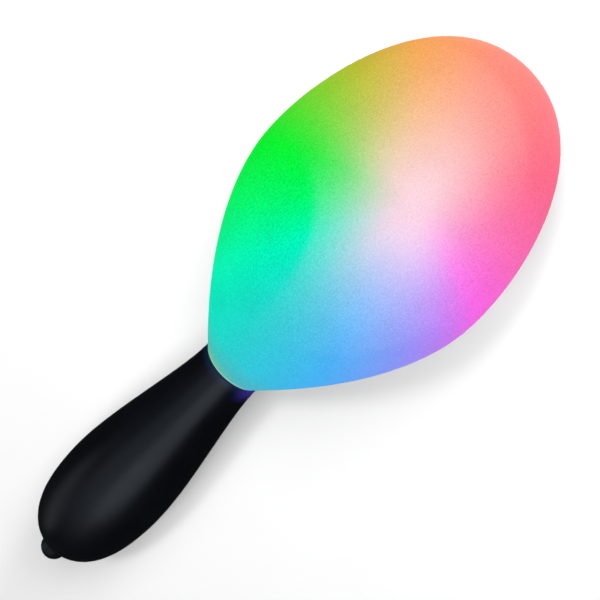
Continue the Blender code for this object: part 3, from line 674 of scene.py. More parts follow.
def glow_colour(nodes):
    """The lit colour at a point of the head, from its place on the wheel, and how pale it is."""
    right, up, lengthwise = picture_axes()[1:]
    place = nodes.vector("SUBTRACT", nodes.place, GLOW_CENTRE)
    x, y = nodes.dot(place, tuple(right)), nodes.dot(place, tuple(up))
    angle = nodes.math("ARCTAN2", y, x)
    reach = 1.0
    for turns, (size, lead) in enumerate((GLOW_SHIFT, GLOW_STRETCH), 1):
        swing = nodes.times(nodes.math("SUBTRACT", angle, lead), float(turns))
        reach = nodes.math("MULTIPLY_ADD", nodes.math("COSINE", swing), size, reach)
    pale = bell(nodes, nodes.times(reach, GLOW_REACH), x, y)
    lobe = oval(nodes, lengthwise, LOBE_CENTRE, LOBE_REACH)
    pale = nodes.times(pale, nodes.ease(lobe, *LOBE_EDGE))
    ring = oval(nodes, lengthwise, RING_CENTRE, RING_REACH)
    pale = nodes.times(pale, nodes.ease(ring, *RING_EDGE, 1.0, RING_SHARE))
    hues = [((a + 180) / 360, code) for a, code in GLOW_HUES]
    rim = nodes.wheel(nodes.span(angle, -pi, pi), hues)
    rise = nodes.span(y, -GLOW_CENTRE_SPAN, GLOW_CENTRE_SPAN)
    centre = nodes.mix(rise, *(shares(code) for code in GLOW_CENTRE_HUES))
    light = nodes.add("Gamma", nodes.mix(pale, rim, centre), SCREEN_GAMMA)
    return light.outputs[0], pale


def oval(nodes, lengthwise, centre, reach):
    """An oval along the head: below 1 inside it, and above 1 outside."""
    place = (nodes.dot(nodes.place, tuple(lengthwise)), nodes.split(nodes.place)[1])
    steps = (nodes.math("SUBTRACT", p, middle) for p, middle in zip(place, centre))
    return squares(nodes, *(nodes.math("DIVIDE", step, r) for step, r in zip(steps, reach)))


def squares(nodes, x, y):
    return nodes.math("MULTIPLY_ADD", x, x, nodes.times(y, y))


def bell(nodes, reach, x, y):
    """A bell curve round the origin: 1 in the middle, and 1/e at the reach."""
    share = nodes.math("DIVIDE", squares(nodes, x, y), nodes.times(reach, reach))
    return nodes.math("EXPONENT", nodes.times(share, -1.0))


def lip_glow(nodes, colour, height):
    """The painted glow greys to sea green at the head's lip, with yellow-green on the left and a
    bright pale line painted along the edge.
    """
    side = nodes.split(nodes.place)[1]
    grey = nodes.ease(height, 14 * MM, 1 * MM, 0.0, 0.55)
    colour = nodes.mix(grey, colour, linear(LIP_GREY_GLOW))
    # painted glow: yellow-green on the lip's left side
    lime_glow = nodes.ease(height, 5 * MM, 1 * MM)
    lime_glow = nodes.times(lime_glow, nodes.span(side, -7 * MM, 6 * MM, 0.0, 0.8))
    colour = nodes.mix(lime_glow, colour, linear(LIP_LIME_GLOW))
    # painted glow: a bright pale line along the lip's edge
    return nodes.mix(nodes.span(height, 1.0 * MM, 0.5 * MM), colour, linear(LIP_EDGE_GLOW))


def frosted_glow():
    """Frosted plastic lit from inside: fine speckle, a soft sheen, and no see-through."""
    nodes = Paint("frosted_glow")
    lit, pale = glow_colour(nodes)
    colour = lip_glow(nodes, lit, nodes.split(nodes.place)[2])
    speckle = nodes.noise(2600.0, detail=3.0, roughness=0.7)
    cloud = nodes.noise(90.0)
    grain = nodes.span(speckle, 0.25, 0.75, -GLOW_GRAIN, GLOW_GRAIN)
    fade = nodes.span(pale, 0.0, 0.8, 1.0, PALE_GRAIN_SHARE)
    grain = nodes.math("MULTIPLY_ADD", grain, fade, 1.0)
    grain = nodes.times(grain, nodes.span(cloud, 0.3, 0.7, 0.97, 1.03))
    by_bounce = nodes.add("LightPath").outputs["Is Diffuse Ray"]
    nodes.bump(speckle, 0.25, 0.05 * MM)
    nodes.material.cycles.emission_sampling = "NONE"
    return nodes.finished(
        Base_Color=nodes.scaled(colour, UNLIT_SHARE),
        Roughness=nodes.span(speckle, 0.3, 0.7, 0.5, 0.66),
        Specular_IOR_Level=0.04,
        Emission_Color=nodes.scaled(colour, grain),
        Emission_Strength=nodes.span(by_bounce, 0.0, 1.0, GLOW_STRENGTH, 0.0),
    )


# -------- other materials

BLACK = (0.0009, 0.0015, 0.0032)
SPILL_NAVY = (0.002, 0.010, 0.030)
SPILL_VIOLET = (0.030, 0.018, 0.20)

# Tint, the range of roughness, and the grain's scale where it isn't the usual one
PLASTICS = {
    "door_plastic": (BLACK, 0.33, 0.40),
    "cradle_plastic": ((0.02, 0.02, 0.024), 0.45, 0.6),
    "button_rubber": ((0.003, 0.0035, 0.006), 0.34, 0.42, 1100.0),
    "bead_plastic": ((0.80, 0.78, 0.73), 0.3, 0.45, 700.0),
    "chip_black": ((0.018, 0.018, 0.02), 0.5, 0.6),
    "switch_black": ((0.02, 0.02, 0.022), 0.4, 0.5),
    "plunger_white": ((0.78, 0.78, 0.75), 0.35, 0.5),
    "wire_red": ((0.50, 0.015, 0.015), 0.35, 0.5),
    "wire_black": ((0.015, 0.015, 0.017), 0.35, 0.5),
    "wire_yellow": ((0.70, 0.52, 0.04), 0.35, 0.5),
    "wire_white": ((0.72, 0.72, 0.70), 0.35, 0.5),
}
# Tint and roughness
METALS = {
    "screw_steel": ((0.55, 0.56, 0.58), 0.32),
    "cell_steel": ((0.72, 0.72, 0.70), 0.22),
    "contact_nickel": ((0.72, 0.68, 0.58), 0.3),
    "spring_steel": ((0.60, 0.60, 0.62), 0.28),
}
METAL_STREAKS = (400.0, 400.0, 40.0)
LAMPS = {
    "led_red": (1.0, 0.10, 0.07),
    "led_green": (0.08, 1.0, 0.18),
    "led_blue": (0.10, 0.22, 1.0),
}
LAMP_STRENGTH = 1.5


def toned(tint, factor):
    return tuple(min(c * factor, 1.0) for c in tint)


def satin_plastic(name, tint, low, high, grain_scale=1500.0, grain=0.12, spill=None):
    """Moulded plastic: slight tone clouding, satin roughness that varies, and a fine grain."""
    nodes = Paint(name)
    cloud = nodes.noise(60.0, detail=4.0)
    fine = nodes.noise(grain_scale)
    nodes.bump(fine, grain, 0.02 * MM)
    rough = nodes.math("MULTIPLY_ADD", fine, 0.04, nodes.span(cloud, 0.3, 0.7, low, high))
    if spill:
        nodes.finished(Emission_Color=spill(nodes), Emission_Strength=1.0)
    clouded = nodes.mix(nodes.span(cloud, 0.35, 0.65), toned(tint, 0.75), toned(tint, 1.25))
    return nodes.finished(Base_Color=clouded, Roughness=rough)


def lip_spill(nodes):
    """The head's light on the neck: navy under the lip, and violet blue on the right."""
    side, height = nodes.split(nodes.place)[1:]
    near = nodes.ease(height, -3.5 * MM, -0.6 * MM)
    violet = nodes.ease(height, -6.5 * MM, -0.5 * MM)
    violet = nodes.times(violet, nodes.ease(side, -4.5 * MM, -9.0 * MM))
    return nodes.mix(violet, nodes.mix(near, (0.0, 0.0, 0.0), SPILL_NAVY), SPILL_VIOLET)


def metal(name, tint, rough):
    """Plated or drawn metal with streaks along it and a little tarnish."""
    nodes = Paint(name)
    streak = nodes.noise(1.0, 4.0, place=nodes.vector("MULTIPLY", nodes.place, METAL_STREAKS))
    tarnish = nodes.noise(350.0, detail=3.0)
    nodes.bump(streak, 0.1, 0.01 * MM)
    return nodes.finished(
        Base_Color=nodes.mix(nodes.span(tarnish, 0.45, 0.75), tint, toned(tint, 0.7)),
        Metallic=1.0,
        Roughness=nodes.span(streak, 0.3, 0.7, rough * 0.8, rough * 1.3),
    )


def clear_plastic():
    nodes = Paint("clear_window")
    haze = nodes.noise(300.0, detail=3.0)
    return nodes.finished(
        Base_Color=nodes.mix(haze, (0.92, 0.95, 0.97), (0.86, 0.90, 0.94)),
        Roughness=nodes.span(haze, 0.3, 0.7, 0.05, 0.14),
        Alpha=0.35,
    )


def circuit_board():
    """Green lacquer with faint copper runs and a matt speckle."""
    nodes = Paint("circuit_board")
    runs = nodes.fill(
        nodes.add("TexBrick", nodes.place),
        Scale=260.0,
        Mortar_Size=0.03,
        Color1=(0.02, 0.16, 0.07),
        Color2=(0.025, 0.18, 0.08),
        Mortar=(0.10, 0.30, 0.12),
    )
    speckle = nodes.noise(1800.0)
    nodes.bump(speckle, 0.15, 0.02 * MM)
    lacquer = nodes.mix(nodes.times(speckle, 0.3), runs.outputs["Color"], (0.01, 0.10, 0.05))
    return nodes.finished(Base_Color=lacquer, Roughness=nodes.span(speckle, 0.3, 0.7, 0.3, 0.45))


def lamp(name, tint):
    """Tinted clear lens that glows, a little brighter in fine random patches."""
    nodes = Paint(name)
    core = nodes.noise(500.0, detail=1.0)
    return nodes.finished(
        Base_Color=nodes.mix(core, tint, toned(tint, 0.8)),
        Roughness=nodes.span(core, 0.3, 0.7, 0.1, 0.2),
        Emission_Color=nodes.mix(core, tint, tuple(min(c + 0.15, 1.0) for c in tint)),
        Emission_Strength=LAMP_STRENGTH,
    )


def make_paints():
    """A material for each of the record's material slots."""
    for looks, paint in ((PLASTICS, satin_plastic), (METALS, metal)):
        PAINTS.update((name, paint(name, *look)) for name, look in looks.items())
    PAINTS.update((name, lamp(name, tint)) for name, tint in LAMPS.items())
    handle = satin_plastic("handle_plastic", BLACK, 0.30, 0.36, grain=0.22, spill=lip_spill)
    PAINTS.update(
        frosted_shell=frosted_glow(),
        clear_window=clear_plastic(),
        handle_plastic=handle,
        board_green=circuit_board(),
    )


# -------- the head


def build_head():
    """The egg with an even wall and a rounded lip."""
    outer = head_outline()
    inner = inset(head_outline(24), HEAD_WALL)
    inner[0] = on_axis(inner[0])
    inner[-1] = (inner[-1][0], 0.0)
    outline = outer + inner[::-1]
    lip = len(outer) - 1
    finish(turned(rounded(outline, 0.25 * MM, corners=(lip, lip + 1))), "head_shell")


def build_window():
    """Clear domed plug that closes the mouth over the lights."""
    seat = SPIGOT_TOP_Z + GAP
    brim = seat + WINDOW_BRIM
    skirt_out = SPIGOT_BORE - GAP
    skirt_in = skirt_out - WINDOW_SKIRT_WALL
    dome = quarter_arc(skirt_out + GAP, brim, WINDOW_DOME_HEIGHT)
    hollow = quarter_arc(skirt_in, brim, WINDOW_HOLLOW_HEIGHT)
    flange = SNAP_RADIUS - 0.2 * MM
    skirt = [(flange, brim), (flange, seat), (skirt_out, seat)]
    skirt += [(skirt_out, WINDOW_SKIRT_Z), (skirt_in, WINDOW_SKIRT_Z)]
    outline = rounded(dome + skirt, 0.15 * MM, corners=range(len(dome), len(dome) + len(skirt)))
    finish(turned(outline + hollow[::-1], MID_STEPS), "light_window")


def build_beads():
    """Round plastic beads, each with a faint moulding seam round it."""
    for number in range(1, BEAD_COUNT + 1):
        node = f"rattle_bead_{number:02d}"
        low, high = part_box(node)
        centre = INSTRUMENT.inverted() @ ((Vector(low) + Vector(high)) / 2)
        shape = bmesh.new()
        bmesh.ops.create_uvsphere(shape, u_segments=32, v_segments=24, radius=BEAD_RADIUS)
        for vert in shape.verts:
            if abs(vert.co.z) < 0.01 * MM:
                vert.co *= BEAD_SEAM_SWELL
        turn = Matrix.Rotation(0.7 * number, 4, "X") @ Matrix.Rotation(1.9 * number, 4, "Y")
        finish(moved(solid(shape), Matrix.Translation(centre) @ turn), node, pi)


# -------- the handle


def handle_solid():
    """The whole handle with its spigot, solid inside."""
    top = [
        (0.0, SPIGOT_TOP_Z),
        (SNAP_RADIUS - 0.4 * MM, SPIGOT_TOP_Z),
        (SNAP_RADIUS, SPIGOT_TOP_Z - 0.5 * MM),
        (SNAP_RADIUS, SNAP_Z),
        (SPIGOT_RADIUS, SNAP_Z),
        (SPIGOT_RADIUS, SHOULDER_Z),
    ]
    return turned(rounded(top + handle_outline(), 0.3 * MM, corners=(len(top),)))


def groove(board_radius, board_z, rib_radius):
    """A board's groove between two ribs, from the top rib down."""
    half = BOARD_THICKNESS / 2 + GAP / 2
    top, low = board_z + half, board_z - half
    depth = board_radius + GAP
    return [(rib_radius, top), (depth, top), (depth, low), (rib_radius, low)]


def cavity():
    """The room inside the handle, with board grooves, a button seat and posts for the screws."""
    wall = inset(handle_outline(18), HANDLE_WALL)
    led_groove = groove(LED_BOARD_RADIUS, LED_BOARD_Z, SPIGOT_BORE)
    rib = SWITCH_BOARD_RADIUS - GROOVE_DEPTH
    switch_groove = groove(SWITCH_BOARD_RADIUS, SWITCH_BOARD_Z, rib)
    neck_z = led_groove[-1][1] - GROOVE_RIB
    rib_top = switch_groove[0][1] + GROOVE_RIB
    rib_low = switch_groove[-1][1] - GROOVE_RIB
    slope, clear = 1.0 * MM, 0.5 * MM
    neck_foot = neck_z - slope
    rib_head = rib_top + slope
    above = SPIGOT_TOP_Z + 1.0 * MM
    outline = [(0.0, above), (SPIGOT_BORE, above), *led_groove]
    outline += [(SPIGOT_BORE, neck_z), (radius_at(wall, neck_foot), neck_foot)]
    outline += [p for p in wall if rib_head + clear < p[1] < neck_foot - clear]
    outline += [(radius_at(wall, rib_head), rib_head), (rib, rib_top)]
    outline += [*switch_groove, (rib, rib_low)]
    outline += [p for p in wall if BUTTON_SEAT_Z + slope < p[1] < rib_low - clear]
    outline += [(BUTTON_FLANGE_RADIUS + 0.6 * MM, BUTTON_SEAT_Z), (0.0, BUTTON_SEAT_Z)]
    room = turned(outline, MID_STEPS)
    far = 20 * MM
    spans = ((-far, CRADLE_FLOOR_X - GAP), (CRADLE_FLOOR_X + CRADLE_WALL + GAP, far))
    posts = [(place, -far, far) for place in UPPER_SCREWS]
    posts += [(place, *span) for place in LOWER_SCREWS for span in spans]
    steps = []
    for (z, y), low, high in posts:
        steps.append((CUT, to_rear(cylinder(BOSS_RADIUS, low, high), y, z)))
    return shaped(room, *steps)


def pilot(low, high, y, z):
    """The step that bores a screw's narrow hole from the rear."""
    return (CUT, to_rear(cylinder(SCREW_SHANK_RADIUS + GAP, low, high, 32), y, z))


def drilled(obj, pilot_depth, recess_depth, holes, seat):
    """Screw holes bored from the rear: a narrow pilot and, if asked, a wide recess for the head."""
    steps = []
    for z, y in holes:
        steps.append(pilot(pilot_depth, seat + 1 * MM, y, z))
        if recess_depth:
            recess = cylinder(SCREW_HEAD_RADIUS + GAP, seat, recess_depth)
            steps.append((CUT, to_rear(recess, y, z)))
    return shaped(obj, *steps)


def door_block(grow):
    """The block that outlines the battery door, grown all round by grow."""
    low = (DOOR_INNER_X, -DOOR_HALF_WIDTH - grow, DOOR_Z[0] - grow)
    high = (30 * MM, DOOR_HALF_WIDTH + grow, DOOR_Z[1] + grow)
    return box(low, high, DOOR_CORNER + grow, 8)


def build_handle():
    room = cavity()
    hole = cylinder(BUTTON_RADIUS + GAP, -100 * MM, -90 * MM, MID_STEPS)
    pilot_end = BOSS_SEAT_X + GAP - SCREW_LENGTH - GAP
    for node, low_x, high_x, recess in (
        ("handle_front_shell", -FAR, -GAP / 2, 0.0),
        ("handle_rear_shell", GAP / 2, FAR, OUTSIDE),
    ):
        half = box((low_x, -FAR, -FAR), (high_x, FAR, FAR))
        steps = [(KEEP, half), (CUT, room), (CUT, hole)]
        if recess:
            steps.append((CUT, door_block(GAP)))
        shell = shaped(handle_solid(), *steps)
        finish(drilled(shell, pilot_end, recess, HANDLE_SCREWS, BOSS_SEAT_X), node)


def door_seat_x():
    """Where the door screw's head sits, under the door's face."""
    return radius_at(handle_outline(), DOOR_SCREW_Z) - DOOR_SEAT_DEPTH


def build_door():
    """A curved panel cut from the grip's own surface, with a screw boss behind it."""
    outline = handle_outline()
    seat = door_seat_x()
    low_z, high_z = DOOR_Z[0] - 6 * MM, DOOR_Z[1] + 9 * MM
    hollow = [p for p in inset(outline, DOOR_WALL) if low_z < p[1] < high_z]
    hollow = [on_axis(hollow[0])] + hollow + [on_axis(hollow[-1])]
    boss = cylinder(SCREW_HEAD_RADIUS + DOOR_BOSS_WALL, seat - DOOR_BOSS_FLOOR, OUTSIDE)
    inside = shaped(turned(hollow), (CUT, to_rear(boss, 0.0, DOOR_SCREW_Z)))
    door = shaped(turned(outline), (CUT, inside), (KEEP, door_block(0.0)))
    finish(drilled(door, 5 * MM, OUTSIDE, ((DOOR_SCREW_Z, 0.0),), seat), "battery_door")


def screw_solid():
    """A pan-head screw, head up, its underside at z = 0, with a cross recess and a thread."""
    top = SCREW_HEAD_HEIGHT
    outline = [(0.0, top), (SCREW_HEAD_RADIUS, top), (SCREW_HEAD_RADIUS, 0.0)]
    outline += [(SCREW_SHANK_RADIUS, 0.0)]
    outline = rounded(outline, 0.4 * MM, corners=(1,), count=6)
    pitch = THREAD_PITCH
    root = SCREW_SHANK_RADIUS - THREAD_DEPTH
    for i in range(int((SCREW_LENGTH - 2.2 * MM) / pitch)):
        z = -0.7 * MM - i * pitch
        outline += [(root, z), (SCREW_SHANK_RADIUS, z - pitch * 0.45), (root, z - pitch * 0.9)]
    outline += [(root * 0.7, -SCREW_LENGTH + 0.6 * MM), (0.0, -SCREW_LENGTH)]
    cross = []
    for wide, thin in ((1.1, 0.2), (0.2, 1.1)):
        low = (-wide * MM, -thin * MM, top - 0.7 * MM)
        cross.append((CUT, box(low, (wide * MM, thin * MM, top + 1 * MM))))
    return shaped(turned(outline, 40), *cross)


def build_screws():
    screw = screw_solid()
    places = [(f"handle_screw_{k}", z, y, BOSS_SEAT_X) for k, (z, y) in enumerate(HANDLE_SCREWS, 1)]
    places.append(("battery_door_screw", DOOR_SCREW_Z, 0.0, door_seat_x()))
    for node, z, y, seat in places:
        copy = bpy.data.objects.new(node, screw.data.copy())
        finish(to_rear(copy, y, z, seat + GAP), node)


# -------- batteries


def build_cradle():
    """An open tray for the cells, with a post for the door's screw and two clamped ears."""
    (low_z, high_z), width, wall, floor = CRADLE_Z, CRADLE_HALF_WIDTH, CRADLE_WALL, CRADLE_FLOOR_X
    top = floor + wall
    seat = door_seat_x()
    tray = box((floor, -width, low_z), (CRADLE_HEIGHT, width, high_z), 0.25 * MM)
    room_low = (top, -width + wall, low_z + wall)
    room = box(room_low, (20 * MM, width - wall, high_z - wall), 0.3 * MM)
    post_top = seat - DOOR_BOSS_FLOOR - GAP
    post = cylinder(SCREW_HEAD_RADIUS + POST_WALL, floor, post_top, edge=0.2 * MM)
    steps = [(ADD, to_rear(post, 0.0, DOOR_SCREW_Z))]
    reach = EAR_RADIUS * EAR_STRAP_SHARE
    for z, y in LOWER_SCREWS:
        low_y, high_y = sorted((y, 0.0))
        steps.append((ADD, box((floor, low_y, z - reach), (top, high_y, z + reach))))
        steps.append((ADD, to_rear(cylinder(EAR_RADIUS, floor, top), y, z)))
        steps.append(pilot(-5 * MM, 5 * MM, y, z))
    steps.append((CUT, room))
    steps.append(pilot(seat - SCREW_LENGTH - GAP, 20 * MM, 0.0, DOOR_SCREW_Z))
    (low_x, high_x), reach = TAG_SLOT_X, TAG_SLOT_REACH
    for y, z in ((4.5 * MM, high_z), (-4.5 * MM, low_z)):
        slot = box((low_x, y - reach, z - 2 * MM), (high_x, y + reach, z + 2 * MM))
        steps.append((CUT, slot))
    finish(shaped(tray, *steps), "battery_cradle")


def build_cells():
    """Button cells: a steel can with a raised cap and the seal's groove round it."""
    top, radius = CELL_HEIGHT, CELL_RADIUS
    cap = radius - 1.3 * MM
    outline = [(0.0, top), (cap, top), (cap + 0.1 * MM, top - 0.5 * MM)]
    outline += [(radius - 0.8 * MM, top - 0.5 * MM), (radius - 0.7 * MM, top - 0.3 * MM)]
    outline += [(radius - 0.35 * MM, top - 0.35 * MM), (radius, top - 0.8 * MM)]
    outline += [(radius, 0.0), (0.0, 0.0)]
    outline = rounded(outline, 0.12 * MM, corners=(1, 2, 7))
    for number in range(CELL_COUNT):
        node = f"button_cell_{number + 1}"
        z = CELL_FIRST_Z + number * (CELL_HEIGHT + GAP)
        finish(along(turned(outline, 72), CELL_AXIS_X, 0.0, z), node)


def slab(x, y, z, edge):
    """A box given by its span along each axis."""
    return box((x[0], y[0], z[0]), (x[1], y[1], z[1]), edge)


def mirrored(span):
    return (-span[1], -span[0])


def build_contacts():
    """A flat positive plate above the cells and a coned negative spring plate below them."""
    low_z = CELL_FIRST_Z + CELL_COUNT * CELL_HEIGHT + (CELL_COUNT - 1) * GAP + GAP
    high_z = CRADLE_Z[1] - CRADLE_WALL - GAP
    plate = slab(CONTACT_X, CONTACT_Y, (low_z, high_z), 0.12 * MM)
    tag = slab(TAG_X, TAG_Y, (low_z, high_z + 2.4 * MM), 0.1 * MM)
    finish(shaped(plate, (ADD, tag)), "contact_plate")
    floor = CRADLE_Z[0] + CRADLE_WALL + GAP
    span_z = (floor, floor + CONTACT_THICKNESS)
    base = slab(CONTACT_X, mirrored(CONTACT_Y), span_z, 0.12 * MM)
    tag = slab(TAG_X, mirrored(TAG_Y), (floor - 2.2 * MM, floor + 0.3 * MM), 0.1 * MM)
    wire = CONTACT_COIL_WIRE
    rise = CELL_FIRST_Z - GAP - floor - wire
    coil = coil_points(CONTACT_COIL_RADIUS, wire, rise - 0.25 * MM, 3, 32, CONTACT_COIL_TAPER)
    spring = along(tube(coil, wire, smooth=False), CELL_AXIS_X, 0.0, floor + wire)
    finish(joined(shaped(base, (ADD, tag)), spring), "contact_spring")


# -------- lights and switch


def build_boards():
    half = BOARD_THICKNESS / 2
    for node, radius, z in (
        ("led_board", LED_BOARD_RADIUS, LED_BOARD_Z),
        ("switch_board", SWITCH_BOARD_RADIUS, SWITCH_BOARD_Z),
    ):
        board = cylinder(radius, z - half, z + half, MID_STEPS, edge=0.12 * MM)
        reach = radius * VIA_REACH_SHARE
        drills = []
        for k in range(4):
            angle = tau * (k + 0.5) / 4
            via = cylinder(VIA_RADIUS, z - 2 * half, z + 2 * half, 16)
            along(via, reach * cos(angle), reach * sin(angle), 0.0)
            drills.append((CUT, via))
        finish(shaped(board, *drills), node)


def build_chip():
    """The controller with four legs down each long side."""
    top = LED_BOARD_Z - BOARD_THICKNESS / 2 - GAP
    low = top - CHIP_HEIGHT
    side, end = CHIP_HALF_SIDES
    body = box((-side + 0.3 * MM, -end, low), (side - 0.3 * MM, end, top), 0.15 * MM)
    legs = []
    for k in range(4):
        y = (k - 1.5) * CHIP_LEG_PITCH
        for sign in (-1, 1):
            span_x = sorted((sign * (side - 0.5 * MM), sign * side))
            span_y = (y - 0.2 * MM, y + 0.2 * MM)
            legs.append(slab(span_x, span_y, (low + 0.7 * MM, top), 0.05 * MM))
    finish(joined(body, *legs), "controller_chip")


def build_leds():
    """Three domed lamps in a ring on the light board."""
    base = LED_BOARD_Z + BOARD_THICKNESS / 2 + GAP
    outline = quarter_arc(LED_RADIUS, LED_HEIGHT - LED_RADIUS, LED_RADIUS)
    foot = len(outline)
    outline += [(LED_RADIUS, LED_FLANGE), (LED_FLANGE_RADIUS, LED_FLANGE)]
    outline += [(LED_FLANGE_RADIUS, 0.0), (0.0, 0.0)]
    outline = rounded(outline, 0.08 * MM, corners=(foot + 1, foot + 2))
    for number, node in enumerate(LAMPS):
        angle = tau * number / 3
        x, y = LED_CIRCLE * cos(angle), LED_CIRCLE * sin(angle)
        finish(along(turned(outline, 40), x, y, base), node)


def build_switch():
    """Tactile switch under the switch board, its plunger towards the button."""
    top = SWITCH_BOARD_Z - BOARD_THICKNESS / 2 - GAP
    low = top - SWITCH_HEIGHT
    half = SWITCH_SIDE / 2
    plunger_low = low - PLUNGER_OUT
    plunger_top = plunger_low + PLUNGER_LENGTH
    body = box((-half, -half, low), (half, half, top), 0.3 * MM)
    bore_top = plunger_top + BUTTON_TRAVEL + GAP
    bore = cylinder(PLUNGER_RADIUS + GAP, low - 1 * MM, bore_top)
    body = shaped(body, (CUT, bore))
    rivets = []
    for sx in (-1, 1):
        for sy in (-1, 1):
            dome = quarter_arc(RIVET_RADIUS, 0.0, RIVET_HEIGHT, 5)
            rivet = moved(turned(dome + [(0.0, 0.0)], 24), Matrix.Rotation(pi, 4, "X"))
            rivets.append(along(rivet, sx * RIVET_REACH, sy * RIVET_REACH, low))
    finish(joined(body, *rivets), "switch_body")
    plunger = cylinder(PLUNGER_RADIUS, plunger_low, plunger_top, edge=0.2 * MM)
    finish(plunger, "switch_plunger")
    return plunger_low


def build_button(plunger_low):
    """The domed button, with the flange that keeps it in the handle and a stem to the switch."""
    flange_low = BUTTON_SEAT_Z + GAP
    flange_top = flange_low + BUTTON_FLANGE
    stem_top = plunger_low - GAP
    stem, flange = BUTTON_STEM_RADIUS, BUTTON_FLANGE_RADIUS
    outline = [(0.0, stem_top), (stem, stem_top), (stem, flange_top)]
    outline += [(flange, flange_top), (flange, flange_low), (BUTTON_RADIUS, flange_low)]
    outline = rounded(outline, 0.2 * MM, corners=(1, 3, 4))
    start = asin(BUTTON_FACE_RADIUS / BUTTON_RADIUS)
    base = BUTTON_TIP_Z + BUTTON_RADIUS * cos(start)
    for i in range(BUTTON_DOME_STEPS + 1):
        angle = pi / 2 + (start - pi / 2) * i / BUTTON_DOME_STEPS
        outline.append((BUTTON_RADIUS * sin(angle), base - BUTTON_RADIUS * cos(angle)))
    outline.append(on_axis(outline[-1]))
    finish(turned(outline, MID_STEPS), "button_cap")
    build_button_spring(flange_top)


def build_button_spring(flange_top):
    """The coil above the flange, in a mesh of its own. On the maraca it gets shorter as the button
    goes in.
    """
    wire = BUTTON_COIL_WIRE
    low = flange_top + GAP + wire
    high = SWITCH_BOARD_Z - BOARD_THICKNESS / 2 - GAP - wire
    coil = coil_points(BUTTON_COIL_RADIUS, low, high, 5, 36)
    spring = finish(tube(coil, wire, smooth=False), "button_spring")
    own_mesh(spring)


def build_wires():
    """Leads from the contacts and the switch board to the light board, clear of the bosses.

    A route holds its heights in metres, then its x and its y in millimetres.
    """
    board = LED_BOARD_Z - BOARD_THICKNESS / 2 - GAP
    neck_z, boss_z = UPPER_SCREWS[0][0], UPPER_SCREWS[1][0]
    switch_top = SWITCH_BOARD_Z + BOARD_THICKNESS / 2 + GAP
    top_tag_z = CRADLE_Z[1] - CRADLE_WALL + 2.7 * MM - GAP
    low_tag_z = CRADLE_Z[0] + CRADLE_WALL - 1.9 * MM
    side = WIRE_SIDE_Y / MM
    climb = (boss_z, neck_z, WIRE_BEND_Z, WIRE_RISE_Z, board)
    switch_rise = (switch_top, switch_top + 3 * MM, BULB_PASS_Z, *climb)
    routes = {
        "wire_positive": (
            (top_tag_z, top_tag_z + 2 * MM, *climb),
            (1.75, 1.75, 1.6, 1.6, 1.4, 1.2, 1.2),
            (4.45, 4.7, side, side, side, 4.4, 4.4),
        ),
        "wire_negative": (
            (low_tag_z - 0.2 * MM, low_tag_z, low_tag_z + 1.5 * MM, BULB_PASS_Z, *climb),
            (-0.6, -2.2, -2.6, -2.6, -1.2, -1.2, -1.2, -1.2, -1.2),
            (-4.45, -4.6, -5.0, -side, -side, -side, -side, -4.4, -4.4),
        ),
    }
    for node, sign in (("wire_switch_a", 1), ("wire_switch_b", -1)):
        across = (3.0, 3.4, side, side, side, 4.4, 2.6, 2.6)
        deep = (-7, -7, -6.5, -5.5, -4.4, -4.2, -3.8, -3.8)
        routes[node] = (switch_rise, deep, [sign * y for y in across])
    for node, route in routes.items():
        finish(tube([(x * MM, y * MM, z) for z, x, y in zip(*route)], WIRE_RADIUS), node)


# -------- stage

FLOOR_DROP = 0.2 * MM
FLOOR_REACH = 3.0
FLOOR_FADE = (0.25, 0.6)

WORLD_MATT = 0.09
WORLD_SHINE = 0.015
SHINE_TINT = (0.80, 0.90, 1.0)

# Softboxes: place, width and length, power, and whether matt and shiny surfaces see it
MATT, SHINE, BOTH = (True, False), (False, True), (True, True)
SOFTBOXES = {
    "key_softbox": ((0.25, 0.25, 0.80), (0.10, 0.10), 1.56, MATT),
    "broad_softbox": ((0.40, 0.10, 0.70), (0.60, 0.60), 4.3, MATT),
    "left_softbox": ((-0.30, 0.0, 0.85), (0.30, 0.30), 1.9, MATT),
    "under_softbox": ((0.65, 0.0, -0.50), (1.00, 1.00), 6.0, BOTH),
    "handle_softbox": ((-0.50, -0.28, 0.74), (0.55, 0.60), 1.10, SHINE),
    "handle_fill": ((-0.50, 0.22, 0.70), (0.75, 0.60), 0.60, SHINE),
    "edge_softbox": ((-0.75, 0.50, 0.15), (0.60, 0.30), 0.22, SHINE),
    "low_softbox": ((0.75, 0.0, 0.50), (0.30, 0.30), 2.6, MATT),
    "grazing_softbox": ((0.85, 0.15, 0.35), (0.15, 0.15), 2.1, MATT),
}
LIGHTS_AIM = (0.0, 0.0, 0.02)
# Only these pieces block the two lowest softboxes.
LOW_LIGHTS = ("low_softbox", "grazing_softbox")
LOW_LIGHT_BLOCKERS = ("handle_front_shell", "handle_rear_shell", "button_cap")

CAMERA_LENS = 48.0
CAMERA_AIM_Z = 28.1 * MM
CAMERA_DISTANCE = 213.1 * MM
CAMERA_SIDESTEP = 0.37 * MM


def floor_material():
    """Plain pale floor, clear from below, in reflections and to light that meets it."""
    nodes = Paint("studio_floor")
    grain = nodes.noise(40.0)
    nodes.finished(
        Base_Color=nodes.mix(grain, (0.86, 0.86, 0.86), (0.88, 0.88, 0.88)),
        Roughness=0.9,
        Specular_IOR_Level=0.0,
    )
    rays = nodes.add("LightPath").outputs
    behind = nodes.add("NewGeometry").outputs["Backfacing"]
    clear = nodes.math("MAXIMUM", behind, rays["Is Glossy Ray"])
    clear = nodes.math("MAXIMUM", clear, rays["Is Shadow Ray"])
    far = nodes.span(nodes.vector("LENGTH", nodes.place, output=1), *FLOOR_FADE)
    shader = nodes.surface.outputs[0]
    for share, other in ((far, "Emission"), (clear, "BsdfTransparent")):
        shader = nodes.add("MixShader", share, shader, nodes.add(other).outputs[0]).outputs[0]
    nodes.put(nodes.tree.nodes["Material Output"].inputs["Surface"], shader)
    return nodes.material


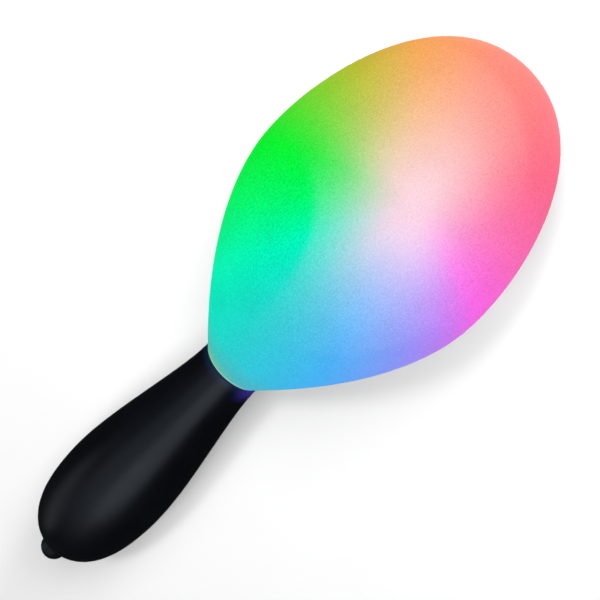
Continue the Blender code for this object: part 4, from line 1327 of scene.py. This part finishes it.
def build_floor():
    shape = bmesh.new()
    bmesh.ops.create_grid(shape, x_segments=8, y_segments=8, size=FLOOR_REACH)
    floor = shown("studio_floor", solid(shape).data)
    floor.location.z = -FLOOR_DROP
    floor.data.materials.append(floor_material())


def build_world():
    """White to the camera, dim to matt surfaces, and nearly black to shiny ones."""
    world = bpy.data.worlds.new("studio")
    bpy.context.scene.world = world
    nodes = Nodes(world)
    rays = nodes.add("LightPath").outputs
    level = WORLD_MATT
    for kind, strength in (("Is Camera Ray", 1.0), ("Is Glossy Ray", WORLD_SHINE)):
        level = nodes.math("MULTIPLY_ADD", rays[kind], strength - WORLD_MATT, level)
    nodes.fill(nodes.tree.nodes["Background"], Color=(1.0, 1.0, 1.0), Strength=level)


def build_lights():
    """Softboxes that face the instrument."""
    blockers = bpy.data.collections.new("low_light_blockers")
    for node in LOW_LIGHT_BLOCKERS:
        blockers.objects.link(bpy.data.objects[node + "_finished"])
    for name, (place, size, power, (on_matt, on_shine)) in SOFTBOXES.items():
        light = bpy.data.lights.new(name, "AREA")
        light.shape = "RECTANGLE"
        light.size, light.size_y = size
        light.energy = power
        if not on_matt:
            light.color = SHINE_TINT
        obj = shown(name, light)
        obj.location = place
        obj.rotation_mode = "QUATERNION"
        obj.rotation_quaternion = (Vector(LIGHTS_AIM) - Vector(place)).to_track_quat("-Z", "Y")
        obj.visible_diffuse, obj.visible_glossy = on_matt, on_shine
        if name in LOW_LIGHTS:
            obj.light_linking.blocker_collection = blockers


def build_camera():
    """Above the head's side, leaning towards it, close enough for the head to loom."""
    back, right, up = (INSTRUMENT.to_3x3() @ axis for axis in picture_axes()[:3])
    camera = bpy.data.cameras.new("studio_camera")
    camera.lens = CAMERA_LENS
    camera.sensor_width = 36.0
    camera.clip_start = 0.01
    camera.clip_end = 20.0
    obj = shown("studio_camera", camera)
    target = INSTRUMENT @ Vector((0.0, 0.0, CAMERA_AIM_Z))
    place = target + back * CAMERA_DISTANCE - Vector((0.0, CAMERA_SIDESTEP, 0.0))
    turn = Matrix((right, up, back)).transposed().to_4x4()
    obj.matrix_world = Matrix.Translation(place) @ turn
    bpy.context.scene.camera = obj


def main():
    make_paints()
    for build in (build_head, build_window, build_beads, build_handle, build_screws, build_door):
        build()
    for build in (build_cradle, build_cells, build_contacts, build_boards, build_chip, build_leds):
        build()
    build_button(build_switch())
    for build in (build_wires, build_floor, build_world, build_lights, build_camera):
        build()
    bpy.context.scene.view_settings.view_transform = "Standard"


main()
